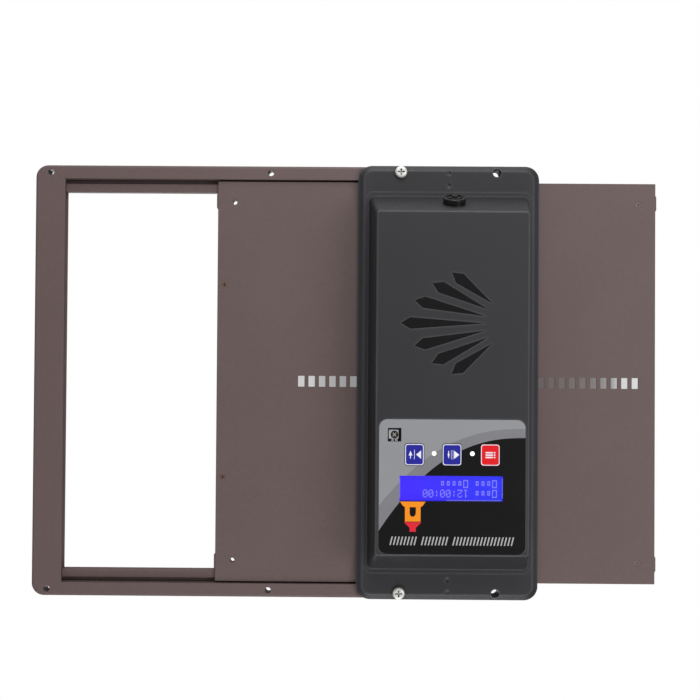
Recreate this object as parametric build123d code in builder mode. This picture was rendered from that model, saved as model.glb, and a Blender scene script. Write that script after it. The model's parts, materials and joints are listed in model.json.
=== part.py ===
from build123d import *

import math
import os

# Automatic coop door: a horizontal sliding panel in a wall frame, driven by a gearmotor and a
# sprocket inside a controller box. Millimetres. The wall is the plane Y = 0, the front faces -Y,
# Z is up, and the origin is the centre of the frame's four wall-screw holes on the wall plane.

os.makedirs("parts", exist_ok=True)

# ---- driving dimensions ----
SHEET = 1.2  # thickness of the frame, rail and door sheet
FRAME_HEIGHT = 280.0
FRAME_LENGTH = 250.0
FRAME_DEPTH = 10.0
FRAME_CORNER = 8.0
FRAME_ROLL = 1.8  # outer front edge radius of the frame
HOLE_SPAN_X = 143.5  # wall-screw pattern of the frame
HOLE_SPAN_Z = 271.0
WALL_HOLE_R = 2.0
HOLE_TO_END = 10.0  # from the end holes to the frame's outer end
END_MEMBER = 19.4  # visible width of the frame's end member
WINDOW_HEIGHT = 262.4
DOORWAY_HEIGHT = 246.0  # clear height between the guide rails

DOOR_LENGTH = 285.0
DOOR_HEIGHT = 260.0
DOOR_RECESS = 1.8  # the door's face lies this far behind the frame's face
DOOR_LIP = 5.8  # depth of the folded top and bottom edges
DOOR_RETURN = 4.0  # height of the inward return behind each guide rail
REST_OPENING = 99.6  # doorway width left free at rest
CLOSE_TRAVEL = 105.0  # from the rest pose to fully closed

SLOT_COUNT = 33
SLOT_PITCH = 6.78
SLOT_WIDTH = 4.2
SLOT_HEIGHT = 7.0
SLOT_CORNER = 0.3
FIRST_SLOT = 53.0  # from the leading edge to the first slot
SLOTS_TO_SPROCKET = 15  # slots between the first one and the one in mesh at rest

CONTROLLER_TO_END_HOLE = 259.0
FLANGE_WIDTH = 117.0
FLANGE_FRONT = 15.0  # distance of the flange face from the wall
FLANGE_CORNER = 9.0
RIM_WIDTH = 3.5
RIM_DROP = 2.2
BOX_BASE_W = 102.6
BOX_BASE_H = 240.0
BOX_FACE_W = 94.4
BOX_FACE_H = 211.5
BOX_FRONT = 48.0
WALL = 2.5
FIXING_X = 31.0  # flange holes, each side of the flange's centre line
LEG_R = 4.4
LEG_HOLE_R = 2.7

LABEL_W = 89.8
LABEL_H = 82.6
LABEL_Z = 63.5
LABEL_T = 0.5
KEY_W = 11.5
KEY_H = 13.0
KEY_Z = 43.8
LED_Z = 43.1
KEY_GAP = 0.3
KEY_CORNER = 1.6
KEY_PROUD = 0.5
KEY_TRAVEL = 0.5
SCREEN_W = 63.6
SCREEN_H = 15.6
SCREEN_Z = 64.6
SENSOR_X = 35.4
SENSOR_Z = 31.8
SENSOR_SIDE = 8.3
LED_R = 1.4

SPROCKET_TEETH = 10
SPROCKET_T = 5.0
GEAR_MODULE = 0.8
GEAR_TEETH = 20
PINION_TEETH = 12
GEAR_T = 5.0
GEAR_TOP = -4.0  # upper face of the gear pair
SHAFT_R = 2.5
MOTOR_SHAFT_R = 2.0
RUN_CLEAR = 0.05
SIDES = (1, -1)
SNAP = 0.01  # tolerance for choosing edges by where they lie

# ---- hardware ----
RIVET_NUT_R = 3.0
RIVET_NUT_FLANGE_R = 4.2
RIVET_NUT_FLANGE_T = 0.8
RIVET_NUT_LENGTH = 7.4
FIXING_SHANK_R = 1.95
FIXING_CLEAR_R = 2.2
FIXING_HEAD_R = 3.9
FIXING_HEAD_T = 2.5
FIXING_TIP = 3.2  # distance of the fixing screws' tips from the wall
SCREW_PILOT_R = 1.3
RECESS_SLOT = 0.22  # width of a cross recess over its length
PAN_HEAD_T = 1.8
M3_HEAD_R = 2.6
M3_CLEAR_R = 1.6
M3_R = 1.45

# ---- derived places ----
END_HOLE_X = HOLE_SPAN_X / 2
HOLE_Z = HOLE_SPAN_Z / 2
FRAME_X1 = END_HOLE_X + HOLE_TO_END
FRAME_X0 = FRAME_X1 - FRAME_LENGTH
WINDOW_X1 = FRAME_X1 - END_MEMBER
HALF_H = FRAME_HEIGHT / 2
HALF_WINDOW = WINDOW_HEIGHT / 2
HALF_DOORWAY = DOORWAY_HEIGHT / 2
DOOR_X1 = WINDOW_X1 - REST_OPENING
DOOR_X0 = DOOR_X1 - DOOR_LENGTH
HALF_DOOR = DOOR_HEIGHT / 2
DOOR_FRONT = FRAME_DEPTH - DOOR_RECESS
DOOR_BACK = DOOR_FRONT - SHEET
SHOE_PROUD = 1.0
STOP_GAP = 0.5  # left between the closed door's shoes and the end stop
STOP_X = DOOR_X1 + CLOSE_TRAVEL + SHOE_PROUD + STOP_GAP
CTRL_X = END_HOLE_X - CONTROLLER_TO_END_HOLE
FLANGE_BACK = FLANGE_FRONT - WALL
FIXING_FRAME_X = CTRL_X + FIXING_X
LEG_X = CTRL_X - FIXING_X
FACE_INNER = BOX_FRONT - WALL
PITCH_R = SPROCKET_TEETH * SLOT_PITCH / (2 * math.pi)
SPROCKET_X = DOOR_X1 - FIRST_SLOT - SLOT_WIDTH / 2 - SLOTS_TO_SPROCKET * SLOT_PITCH
SPROCKET_DEPTH = (DOOR_FRONT + DOOR_BACK) / 2 + PITCH_R
MOTOR_DEPTH = SPROCKET_DEPTH + GEAR_MODULE * (GEAR_TEETH + PINION_TEETH) / 2
SCREEN_X = CTRL_X + 0.4
LABEL_X = CTRL_X
KEYS_X = [CTRL_X + 23.2, CTRL_X + 0.2, CTRL_X - 23.2]
LEDS_X = [CTRL_X + 11.1, CTRL_X - 12.3]


def at(depth):
    """Plane parallel to the wall, depth in front of it, facing the front."""
    return Plane.XZ.offset(depth)


def front_plane(x, z, depth):
    """Plane at a point, facing the front."""
    return Plane(origin=(x, -depth, z), x_dir=(1, 0, 0), z_dir=(0, -1, 0))


def back_at(x, z, depth):
    """Plane at a point, facing the wall."""
    return Plane(origin=(x, -depth, z), x_dir=(-1, 0, 0), z_dir=(0, 1, 0))


def level(z, x=0.0, depth=0.0):
    """Horizontal plane at height z with its centre on a vertical shaft's axis."""
    return Plane(origin=(x, -depth, z), x_dir=(1, 0, 0), z_dir=(0, 0, 1))


# ---- frame ----
with BuildPart() as front_frame:
    with BuildSketch(at(SHEET)):
        with Locations(((FRAME_X0 + FRAME_X1) / 2, 0)):
            Rectangle(FRAME_LENGTH, FRAME_HEIGHT)
        end_corners = vertices().sort_by(Axis.X)[-2:]
        fillet(end_corners, FRAME_CORNER)
    extrude(amount=FRAME_DEPTH - SHEET)
    front_edges = edges().filter_by(lambda e: abs(e.center().Y + FRAME_DEPTH) < SNAP)
    fillet(front_edges.filter_by(lambda e: e.center().X > FRAME_X0 + 1), FRAME_ROLL)
    # window, open at the controller's end
    with BuildSketch(at(0)):
        with Locations(((FRAME_X0 + WINDOW_X1) / 2, 0)):
            Rectangle(WINDOW_X1 - FRAME_X0, WINDOW_HEIGHT)
    extrude(amount=2 * FRAME_DEPTH, mode=Mode.SUBTRACT)
    # pocket that takes the door's leading edge
    with BuildSketch(at(SHEET)):
        with Locations(((WINDOW_X1 + STOP_X) / 2, 0)):
            Rectangle(STOP_X - WINDOW_X1, WINDOW_HEIGHT)
    extrude(amount=FRAME_DEPTH - 2 * SHEET, mode=Mode.SUBTRACT)
    # hollow of the channel section
    with BuildSketch(at(SHEET)):
        with Locations(((FRAME_X0 + FRAME_X1 - SHEET) / 2, 0)):
            Rectangle(FRAME_LENGTH - SHEET, FRAME_HEIGHT - 2 * SHEET)
        fillet(vertices().sort_by(Axis.X)[-2:], FRAME_CORNER - SHEET)
        with Locations(((FRAME_X0 + STOP_X + SHEET) / 2, 0)):
            Rectangle(STOP_X + SHEET - FRAME_X0, WINDOW_HEIGHT + 2 * SHEET, mode=Mode.SUBTRACT)
    extrude(amount=FRAME_DEPTH - 2 * SHEET, mode=Mode.SUBTRACT)
    with BuildSketch(at(0)):
        with GridLocations(HOLE_SPAN_X, HOLE_SPAN_Z, 2, 2):
            Circle(WALL_HOLE_R)
        with Locations((FIXING_FRAME_X, HOLE_Z), (FIXING_FRAME_X, -HOLE_Z)):
            Circle(RIVET_NUT_R)
    extrude(amount=2 * FRAME_DEPTH, mode=Mode.SUBTRACT)
front_frame.part.label = "front_frame"
export_step(front_frame.part, "parts/front_frame.step")

RAIL_STRIP_FRONT = 6.0  # the strip that the door hooks over
RAIL_STRIP_H = 5.4
RAIL_STRIP_TOP = HALF_DOORWAY + RAIL_STRIP_H
RAIL_FOLD_R = 0.9
RAIL_X1 = WINDOW_X1 + 0.5


def guide_rail(side):
    """Folded rail: a back plate, a stem at the doorway and a strip that the door hooks over."""
    with BuildPart() as rail:
        with BuildSketch(Plane.YZ.offset(FRAME_X0)):
            with BuildLine():
                Polyline(
                    (0, HALF_DOORWAY),
                    (0, HALF_H),
                    (-SHEET, HALF_H),
                    (-SHEET, HALF_DOORWAY + SHEET),
                    (-RAIL_STRIP_FRONT + SHEET, HALF_DOORWAY + SHEET),
                    (-RAIL_STRIP_FRONT + SHEET, RAIL_STRIP_TOP),
                    (-RAIL_STRIP_FRONT, RAIL_STRIP_TOP),
                    (-RAIL_STRIP_FRONT, HALF_DOORWAY),
                    close=True,
                )
            make_face()
            fillet(vertices().group_by(Axis.Y)[0], RAIL_FOLD_R)
        extrude(amount=RAIL_X1 - FRAME_X0)
        with BuildSketch(at(0)):
            with Locations((-END_HOLE_X, HOLE_Z)):
                Circle(WALL_HOLE_R)
        extrude(amount=SHEET, mode=Mode.SUBTRACT)
        if side < 0:
            mirror(about=Plane.XY, mode=Mode.REPLACE)
    return rail


guide_rail_top = guide_rail(1)
guide_rail_top.part.label = "guide_rail_top"
export_step(guide_rail_top.part, "parts/guide_rail_top.step")

guide_rail_bottom = guide_rail(-1)
guide_rail_bottom.part.label = "guide_rail_bottom"
export_step(guide_rail_bottom.part, "parts/guide_rail_bottom.step")

with BuildPart() as end_plate:
    with BuildSketch(at(0)):
        with Locations(((RAIL_X1 + FRAME_X1) / 2, 0)):
            Rectangle(FRAME_X1 - RAIL_X1, FRAME_HEIGHT)
        fillet(vertices().sort_by(Axis.X)[-2:], FRAME_CORNER)
        with Locations((END_HOLE_X, HOLE_Z), (END_HOLE_X, -HOLE_Z)):
            Circle(WALL_HOLE_R, mode=Mode.SUBTRACT)
    extrude(amount=SHEET)
end_plate.part.label = "end_plate"
export_step(end_plate.part, "parts/end_plate.step")

SPACER_R = 3.0
with BuildPart() as frame_spacers:
    with BuildSketch(at(SHEET)):
        with GridLocations(HOLE_SPAN_X, HOLE_SPAN_Z, 2, 2):
            Circle(SPACER_R)
            Circle(WALL_HOLE_R, mode=Mode.SUBTRACT)
    extrude(amount=FRAME_DEPTH - 2 * SHEET)
frame_spacers.part.label = "frame_spacers"
export_step(frame_spacers.part, "parts/frame_spacers.step")

with BuildPart() as rivet_nuts:
    with BuildSketch(at(FRAME_DEPTH - RIVET_NUT_LENGTH)):
        with Locations((FIXING_FRAME_X, HOLE_Z), (FIXING_FRAME_X, -HOLE_Z)):
            Circle(RIVET_NUT_R)
    extrude(amount=RIVET_NUT_LENGTH)
    with BuildSketch(at(FRAME_DEPTH)):
        with Locations((FIXING_FRAME_X, HOLE_Z), (FIXING_FRAME_X, -HOLE_Z)):
            Circle(RIVET_NUT_FLANGE_R)
    extrude(amount=RIVET_NUT_FLANGE_T)
    with BuildSketch(at(0)):
        with Locations((FIXING_FRAME_X, HOLE_Z), (FIXING_FRAME_X, -HOLE_Z)):
            Circle(FIXING_SHANK_R + RUN_CLEAR)
    extrude(amount=2 * FRAME_DEPTH, mode=Mode.SUBTRACT)
rivet_nuts.part.label = "rivet_nuts"
export_step(rivet_nuts.part, "parts/rivet_nuts.step")

# ---- door ----
SHOE_HOLE_X = 11.0  # shoe holes, from each end of the door
SHOE_HOLE_Z = HALF_DOOR - 13.5
FOLD_R = 1.1
SHOE_HOLE_R = 1.9
EDGE_SCREW_X = DOOR_X1 - 4.5
EDGE_SCREW_Z = 62.5
EDGE_SCREW_R = 1.25
EDGE_HEAD_R = 2.25
LIP_BACK = DOOR_FRONT - DOOR_LIP

with BuildPart() as door_panel:
    with BuildSketch(Plane.YZ.offset(DOOR_X0)):
        with BuildLine():
            for side in SIDES:
                Polyline(
                    (-DOOR_FRONT, 0),
                    (-DOOR_FRONT, side * HALF_DOOR),
                    (-LIP_BACK, side * HALF_DOOR),
                    (-LIP_BACK, side * (HALF_DOOR - DOOR_RETURN)),
                    (-LIP_BACK - SHEET, side * (HALF_DOOR - DOOR_RETURN)),
                    (-LIP_BACK - SHEET, side * (HALF_DOOR - SHEET)),
                    (-DOOR_BACK, side * (HALF_DOOR - SHEET)),
                    (-DOOR_BACK, 0),
                )
        make_face()
        folds = vertices().filter_by(lambda v: abs(abs(v.Z) - HALF_DOOR) < SNAP)
        fillet(folds, FOLD_R)
    extrude(amount=DOOR_LENGTH)
    with BuildSketch(at(DOOR_BACK - SHEET)):
        for index in range(SLOT_COUNT):
            slot_x = DOOR_X1 - FIRST_SLOT - SLOT_WIDTH / 2 - index * SLOT_PITCH
            with Locations((slot_x, 0)):
                RectangleRounded(SLOT_WIDTH, SLOT_HEIGHT, SLOT_CORNER)
        for hole_x in (DOOR_X0 + SHOE_HOLE_X, DOOR_X1 - SHOE_HOLE_X):
            with Locations((hole_x, SHOE_HOLE_Z), (hole_x, -SHOE_HOLE_Z)):
                Circle(SHOE_HOLE_R)
    extrude(amount=3 * SHEET, mode=Mode.SUBTRACT)
    with Locations([front_plane(EDGE_SCREW_X, s * EDGE_SCREW_Z, DOOR_FRONT) for s in SIDES]):
        CounterSinkHole(EDGE_SCREW_R + RUN_CLEAR, EDGE_HEAD_R + RUN_CLEAR, SHEET, 90)
door_panel.part.label = "door_panel"
export_step(door_panel.part, "parts/door_panel.step")

BAR_W = 9.0
BAR_T = 3.5
BAR_L = 200.0
BAR_CORNER = 1.5
with BuildPart() as leading_bar:
    with BuildSketch(at(DOOR_BACK - BAR_T)):
        with Locations((DOOR_X1 - BAR_W / 2, 0)):
            RectangleRounded(BAR_W, BAR_L, BAR_CORNER)
        with Locations((EDGE_SCREW_X, EDGE_SCREW_Z), (EDGE_SCREW_X, -EDGE_SCREW_Z)):
            Circle(EDGE_SCREW_R + RUN_CLEAR, mode=Mode.SUBTRACT)
    extrude(amount=BAR_T)
leading_bar.part.label = "leading_bar"
export_step(leading_bar.part, "parts/leading_bar.step")


def cross_recess(planes, size, depth):
    """Solid of the cross recesses in screw heads whose crowns lie on the planes."""
    with BuildPart() as recess:
        for plane in planes:
            with BuildSketch(plane):
                Rectangle(size, size * RECESS_SLOT)
                Rectangle(size * RECESS_SLOT, size)
            extrude(amount=-depth)
    return recess.part


edge_screw_planes = [front_plane(EDGE_SCREW_X, s * EDGE_SCREW_Z, DOOR_FRONT) for s in SIDES]
edge_screw_recess = cross_recess(edge_screw_planes, 2.4, 0.7)

with BuildPart() as edge_screws:
    for z in (EDGE_SCREW_Z, -EDGE_SCREW_Z):
        with BuildSketch(Plane.YZ.offset(EDGE_SCREW_X)):
            with BuildLine():
                Polyline(
                    (-DOOR_FRONT, z),
                    (-DOOR_FRONT, z + EDGE_HEAD_R),
                    (-DOOR_FRONT + EDGE_HEAD_R - EDGE_SCREW_R, z + EDGE_SCREW_R),
                    (-DOOR_BACK + BAR_T, z + EDGE_SCREW_R),
                    (-DOOR_BACK + BAR_T, z),
                    close=True,
                )
            make_face()
        revolve(axis=Axis((EDGE_SCREW_X, 0, z), (0, 1, 0)))
    add(edge_screw_recess, mode=Mode.SUBTRACT)
edge_screws.part.label = "edge_screws"
export_step(edge_screws.part, "parts/edge_screws.step")

SHOE_L = 18.0
SHOE_Z0 = 112.0
SHOE_Z1 = HALF_DOORWAY - 0.3  # running gap below the rail
SHOE_BACK = 2.0
SHOE_CORNER = 1.5
PEG_WALL = 0.4  # wall of the hollow pegs at the leading edge
with BuildPart() as glide_shoes:
    for end_x, inward in ((DOOR_X1 + SHOE_PROUD, -1), (DOOR_X0 - SHOE_PROUD, 1)):
        for side in SIDES:
            with BuildSketch(at(SHOE_BACK)):
                with Locations((end_x + inward * SHOE_L / 2, side * (SHOE_Z0 + SHOE_Z1) / 2)):
                    RectangleRounded(SHOE_L, SHOE_Z1 - SHOE_Z0, SHOE_CORNER)
            extrude(amount=DOOR_BACK - SHOE_BACK)
            peg_x = end_x + inward * (SHOE_PROUD + SHOE_HOLE_X)
            with BuildSketch(at(DOOR_BACK)):
                with Locations((peg_x, side * SHOE_HOLE_Z)):
                    Circle(SHOE_HOLE_R)
            extrude(amount=SHEET * 0.75)
            if inward < 0:
                with BuildSketch(at(0)):
                    with Locations((peg_x, side * SHOE_HOLE_Z)):
                        Circle(SHOE_HOLE_R - PEG_WALL)
                extrude(amount=DOOR_FRONT, mode=Mode.SUBTRACT)
glide_shoes.part.label = "glide_shoes"
export_step(glide_shoes.part, "parts/glide_shoes.step")

# ---- controller housing ----
INLET_DROP = 0.485  # how far down the slope from flange to face the inlet sits
SLOPE_RUN = BOX_FRONT - FLANGE_FRONT
SLOPE_RISE = (BOX_BASE_H - BOX_FACE_H) / 2
SLOPE_LENGTH = math.hypot(SLOPE_RUN, SLOPE_RISE)
INLET_X = CTRL_X - 2.0
INLET_POINT = (
    INLET_X,
    -(FLANGE_FRONT + SLOPE_RUN * INLET_DROP),
    -(BOX_BASE_H / 2 - SLOPE_RISE * INLET_DROP),
)
INLET_AXIS = (0, -SLOPE_RISE / SLOPE_LENGTH, -SLOPE_RUN / SLOPE_LENGTH)
INLET_R = 5.6
inlet_plane = Plane(origin=INLET_POINT, x_dir=(1, 0, 0), z_dir=INLET_AXIS)

COVER_SCREWS = [(side * 44.5, z) for side in SIDES for z in (109.0, 0.0, -109.0)]
BRACKET_SCREWS = [(side * 19.5, z) for side in SIDES for z in (4.5, -7.5)]
BRACKET_FRONT = FACE_INNER - 2.0
BOARD_FRONT = 35.0
BOARD_W = 84.0
BOARD_Z0 = 17.0
BOARD_Z1 = 103.0
BOARD_POSTS = [(side * 38.0, z) for side in SIDES for z in (21.5, 98.5)]
COVER_BOSS_R = 3.4
COVER_SCREW_L = 10.0
BRACKET_BOSS_R = 3.0
POST_R = 2.6
DIMPLE_BALL_R = 2.4
DIMPLE_T = 0.7
BASE_CORNER = 3.4
FACE_CORNER = 2.2
FACE_ROLL = 0.8
FOOT_FILLET = 1.6
PLINTH_W = 2.8  # shallow step round the foot of the box
PLINTH_T = 0.3
SKIRT_WALL = 3.0
LABEL_CORNER = 5.2
FAN_X = CTRL_X - 40.0
FAN_Z = -36.8
FAN_RAYS = 7
FAN_STEP = 12.5
FAN_START = 20.0
FAN_REACH = 72.0
FAN_FALL = 0.55  # how much shorter a ray is for each degree off the middle one
FAN_POINT = 6.0  # length of a ray's pointed end
FAN_HALF_W = 3.6
POCKET = 0.5
LAND_STEP = 0.3
LAND_W = FLANGE_WIDTH - 2 * RIM_WIDTH
LAND_H = FRAME_HEIGHT - 2 * RIM_WIDTH
RIM_BASE = FLANGE_FRONT - RIM_DROP


def is_box_foot(point):
    """True for the edges where the sloping box meets the flange."""
    on_flange = abs(point.Y + FLANGE_FRONT) < SNAP
    inside_x = abs(point.X - CTRL_X) < BOX_BASE_W / 2 + 1
    inside_z = abs(point.Z) < BOX_BASE_H / 2 + 1
    return on_flange and inside_x and inside_z


def fan_rays(gap):
    """Plain tapered rays spread about one point; gap is left all round each ray."""
    with BuildSketch() as rays:
        for index in range(FAN_RAYS):
            angle = (index - (FAN_RAYS - 1) / 2) * FAN_STEP
            reach = FAN_REACH - FAN_FALL * abs(angle)
            with BuildLine(Plane.XY.rotated((0, 0, angle))):
                Polyline(
                    (FAN_START + 4 * gap, 0),
                    (reach - FAN_POINT, FAN_HALF_W - gap),
                    (reach - gap, 0),
                    (reach - FAN_POINT, gap - FAN_HALF_W),
                    close=True,
                )
            make_face()
    return rays.sketch


fan_pockets = fan_rays(0)
fan_shapes = fan_rays(0.15)


with BuildPart() as controller_housing:
    # flange: skirt, bevelled rim and raised land
    with BuildSketch(at(FRAME_DEPTH)):
        with Locations((CTRL_X, 0)):
            RectangleRounded(FLANGE_WIDTH, FRAME_HEIGHT, FLANGE_CORNER)
    extrude(amount=RIM_BASE - FRAME_DEPTH)
    with BuildSketch(at(RIM_BASE)):
        with Locations((CTRL_X, 0)):
            RectangleRounded(FLANGE_WIDTH, FRAME_HEIGHT, FLANGE_CORNER)
    with BuildSketch(at(FLANGE_FRONT - LAND_STEP)):
        with Locations((CTRL_X, 0)):
            RectangleRounded(LAND_W, LAND_H, FLANGE_CORNER - RIM_WIDTH)
    loft()
    with BuildSketch(at(FLANGE_FRONT - LAND_STEP)):
        with Locations((CTRL_X, 0)):
            RectangleRounded(LAND_W - 0.4, LAND_H - 0.4, FLANGE_CORNER - RIM_WIDTH)
    extrude(amount=LAND_STEP)
    # box with sloping walls
    with BuildSketch(at(FLANGE_FRONT - LAND_STEP)):
        with Locations((CTRL_X, 0)):
            RectangleRounded(BOX_BASE_W, BOX_BASE_H, BASE_CORNER)
    with BuildSketch(at(BOX_FRONT)):
        with Locations((CTRL_X, 0)):
            RectangleRounded(BOX_FACE_W, BOX_FACE_H, FACE_CORNER)
    loft()
    face_edges = faces().sort_by(Axis.Y)[0].edges()
    fillet(face_edges, FACE_ROLL)
    foot_edges = edges().filter_by(lambda e: is_box_foot(e.center()))
    fillet(foot_edges, FOOT_FILLET)
    with BuildSketch(at(FLANGE_FRONT)):
        with Locations((CTRL_X, 0)):
            RectangleRounded(
                BOX_BASE_W + 2 * PLINTH_W, BOX_BASE_H + 2 * PLINTH_W, BASE_CORNER + PLINTH_W
            )
    extrude(amount=PLINTH_T)
    # hollow of the box and the recess behind the flange
    with BuildSketch(at(FLANGE_BACK - SNAP)):
        with Locations((CTRL_X, 0)):
            RectangleRounded(BOX_BASE_W - 2 * WALL, BOX_BASE_H - 2 * WALL, 3)
    with BuildSketch(at(FACE_INNER)):
        with Locations((CTRL_X, 0)):
            RectangleRounded(BOX_FACE_W - 2 * WALL, BOX_FACE_H - 2 * WALL, 2)
    loft(mode=Mode.SUBTRACT)
    with BuildSketch(at(FRAME_DEPTH)):
        with Locations((CTRL_X, 0)):
            RectangleRounded(
                FLANGE_WIDTH - 2 * SKIRT_WALL,
                FRAME_HEIGHT - 2 * SKIRT_WALL,
                FLANGE_CORNER - SKIRT_WALL,
            )
    extrude(amount=FLANGE_BACK - FRAME_DEPTH, mode=Mode.SUBTRACT)
    # bosses over the frame and legs to the wall
    with BuildSketch(at(FRAME_DEPTH + RIVET_NUT_FLANGE_T)):
        with Locations((FIXING_FRAME_X, HOLE_Z), (FIXING_FRAME_X, -HOLE_Z)):
            Circle(LEG_R)
    extrude(amount=FLANGE_BACK - FRAME_DEPTH - RIVET_NUT_FLANGE_T)
    with BuildSketch(at(0)):
        with Locations((LEG_X, HOLE_Z), (LEG_X, -HOLE_Z)):
            Circle(LEG_R)
    extrude(amount=FLANGE_BACK)
    # relief in the skirt for the rivet nuts' flanges
    with BuildSketch(at(FRAME_DEPTH)):
        with Locations((FIXING_FRAME_X, HOLE_Z), (FIXING_FRAME_X, -HOLE_Z)):
            Circle(LEG_R)
    extrude(amount=RIVET_NUT_FLANGE_T, mode=Mode.SUBTRACT)
    with BuildSketch(at(0)):
        with Locations((FIXING_FRAME_X, HOLE_Z), (FIXING_FRAME_X, -HOLE_Z)):
            Circle(FIXING_CLEAR_R)
        with Locations((LEG_X, HOLE_Z), (LEG_X, -HOLE_Z)):
            Circle(LEG_HOLE_R)
    extrude(amount=2 * FLANGE_FRONT, mode=Mode.SUBTRACT)
    # pairs of moulding dimples on the flange's centre line
    dimple_y = DIMPLE_T - FLANGE_FRONT - DIMPLE_BALL_R
    for side in SIDES:
        dimples = [(CTRL_X, dimple_y, side * (HOLE_Z - offset)) for offset in (0.5, 8.5)]
        with Locations(dimples):
            Sphere(DIMPLE_BALL_R, mode=Mode.SUBTRACT)
    # inside bosses
    with BuildSketch(at(FLANGE_BACK)):
        with Locations([(CTRL_X + x, z) for x, z in COVER_SCREWS]):
            Circle(COVER_BOSS_R)
    extrude(amount=COVER_SCREW_L + 2)
    with BuildSketch(at(BRACKET_FRONT)):
        with Locations([(SPROCKET_X + x, z) for x, z in BRACKET_SCREWS]):
            Circle(BRACKET_BOSS_R)
    extrude(amount=FACE_INNER - BRACKET_FRONT)
    with BuildSketch(at(BOARD_FRONT)):
        with Locations([(CTRL_X + x, z) for x, z in BOARD_POSTS]):
            Circle(POST_R)
    extrude(amount=FACE_INNER - BOARD_FRONT)
    with BuildSketch(at(FLANGE_BACK)):
        with Locations([(CTRL_X + x, z) for x, z in COVER_SCREWS]):
            Circle(SCREW_PILOT_R)
    extrude(amount=COVER_SCREW_L, mode=Mode.SUBTRACT)
    with BuildSketch(at(BRACKET_FRONT)):
        with Locations([(SPROCKET_X + x, z) for x, z in BRACKET_SCREWS]):
            Circle(SCREW_PILOT_R)
    extrude(amount=3.2, mode=Mode.SUBTRACT)
    with BuildSketch(at(BOARD_FRONT)):
        with Locations([(CTRL_X + x, z) for x, z in BOARD_POSTS]):
            Circle(SCREW_PILOT_R)
    extrude(amount=8, mode=Mode.SUBTRACT)
    # shallow pockets for the label and the fan
    with BuildSketch(at(BOX_FRONT - POCKET)):
        with Locations((LABEL_X, LABEL_Z)):
            RectangleRounded(LABEL_W, LABEL_H, LABEL_CORNER)
        with Locations((FAN_X, FAN_Z)):
            add(fan_pockets)
    extrude(amount=2 * POCKET, mode=Mode.SUBTRACT)
    # windows for the screen, keys, sensor, lights
    with BuildSketch(at(FACE_INNER - 1)):
        with Locations((SCREEN_X, SCREEN_Z)):
            Rectangle(SCREEN_W + 1, SCREEN_H + 1)
        with Locations([(x, KEY_Z) for x in KEYS_X]):
            RectangleRounded(KEY_W + 2 * KEY_GAP, KEY_H + 2 * KEY_GAP, KEY_CORNER + KEY_GAP)
        with Locations((CTRL_X + SENSOR_X, SENSOR_Z)):
            Rectangle(SENSOR_SIDE, SENSOR_SIDE)
        with Locations([(x, LED_Z) for x in LEDS_X]):
            Circle(LED_R)
    extrude(amount=WALL + 2, mode=Mode.SUBTRACT)
    with BuildSketch(inlet_plane.offset(-3 * WALL)):
        Circle(INLET_R)
    extrude(amount=6 * WALL, mode=Mode.SUBTRACT)
controller_housing.part.label = "controller_housing"
export_step(controller_housing.part, "parts/controller_housing.step")

# ---- rear cover ----
SEAL_T = 0.5
COVER_T = 1.6
COVER_FRONT = FLANGE_BACK - SEAL_T
COVER_BACK = COVER_FRONT - COVER_T
DRIVE_WINDOW_W = 29.0
DRIVE_WINDOW_Z0 = -11.0
DRIVE_WINDOW_Z1 = 4.5
COVER_W = 108.0
COVER_H = 247.0
SEAL_OUTER_W = 107.0
SEAL_OUTER_H = 244.0
SEAL_WIDTH = 4.0
COVER_HEAD_R = 2.7

with BuildPart() as rear_cover:
    with BuildSketch(at(COVER_BACK)):
        with Locations((CTRL_X, 0)):
            RectangleRounded(COVER_W, COVER_H, BASE_CORNER)
        with Locations((SPROCKET_X, (DRIVE_WINDOW_Z0 + DRIVE_WINDOW_Z1) / 2)):
            Rectangle(DRIVE_WINDOW_W, DRIVE_WINDOW_Z1 - DRIVE_WINDOW_Z0, mode=Mode.SUBTRACT)
    extrude(amount=COVER_T)
    with Locations([back_at(CTRL_X + x, z, COVER_BACK) for x, z in COVER_SCREWS]):
        CounterSinkHole(SCREW_PILOT_R + 0.2, COVER_HEAD_R + 0.1, COVER_T, 90)
rear_cover.part.label = "rear_cover"
export_step(rear_cover.part, "parts/rear_cover.step")

with BuildPart() as housing_seal:
    with BuildSketch(at(COVER_FRONT)):
        with Locations((CTRL_X, 0)):
            RectangleRounded(SEAL_OUTER_W, SEAL_OUTER_H, BASE_CORNER)
            RectangleRounded(
                SEAL_OUTER_W - 2 * SEAL_WIDTH,
                SEAL_OUTER_H - 2 * SEAL_WIDTH,
                BASE_CORNER - 2,
                mode=Mode.SUBTRACT,
            )
    extrude(amount=SEAL_T)
housing_seal.part.label = "housing_seal"
export_step(housing_seal.part, "parts/housing_seal.step")


cover_screw_places = [(CTRL_X + x, z) for x, z in COVER_SCREWS]
cover_screw_recess = cross_recess(
    [back_at(x, z, COVER_BACK) for x, z in cover_screw_places], 3.0, 0.9
)

with BuildPart() as cover_screws:
    for x, z in COVER_SCREWS:
        with BuildSketch(Plane.YZ.offset(CTRL_X + x)):
            with BuildLine():
                Polyline(
                    (-COVER_BACK, z),
                    (-COVER_BACK, z + COVER_HEAD_R),
                    (-COVER_BACK - COVER_HEAD_R + SCREW_PILOT_R, z + SCREW_PILOT_R),
                    (-COVER_BACK - COVER_SCREW_L + 1, z + SCREW_PILOT_R),
                    (-COVER_BACK - COVER_SCREW_L, z),
                    close=True,
                )
            make_face()
        revolve(axis=Axis((CTRL_X + x, 0, z), (0, 1, 0)))
    add(cover_screw_recess, mode=Mode.SUBTRACT)
cover_screws.part.label = "cover_screws"
export_step(cover_screws.part, "parts/cover_screws.step")

FIXING_HEAD_TOP = FLANGE_FRONT + FIXING_HEAD_T
fixing_screw_recess = cross_recess(
    [front_plane(FIXING_FRAME_X, s * HOLE_Z, FIXING_HEAD_TOP) for s in SIDES], 4.4, 1.5
)

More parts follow.
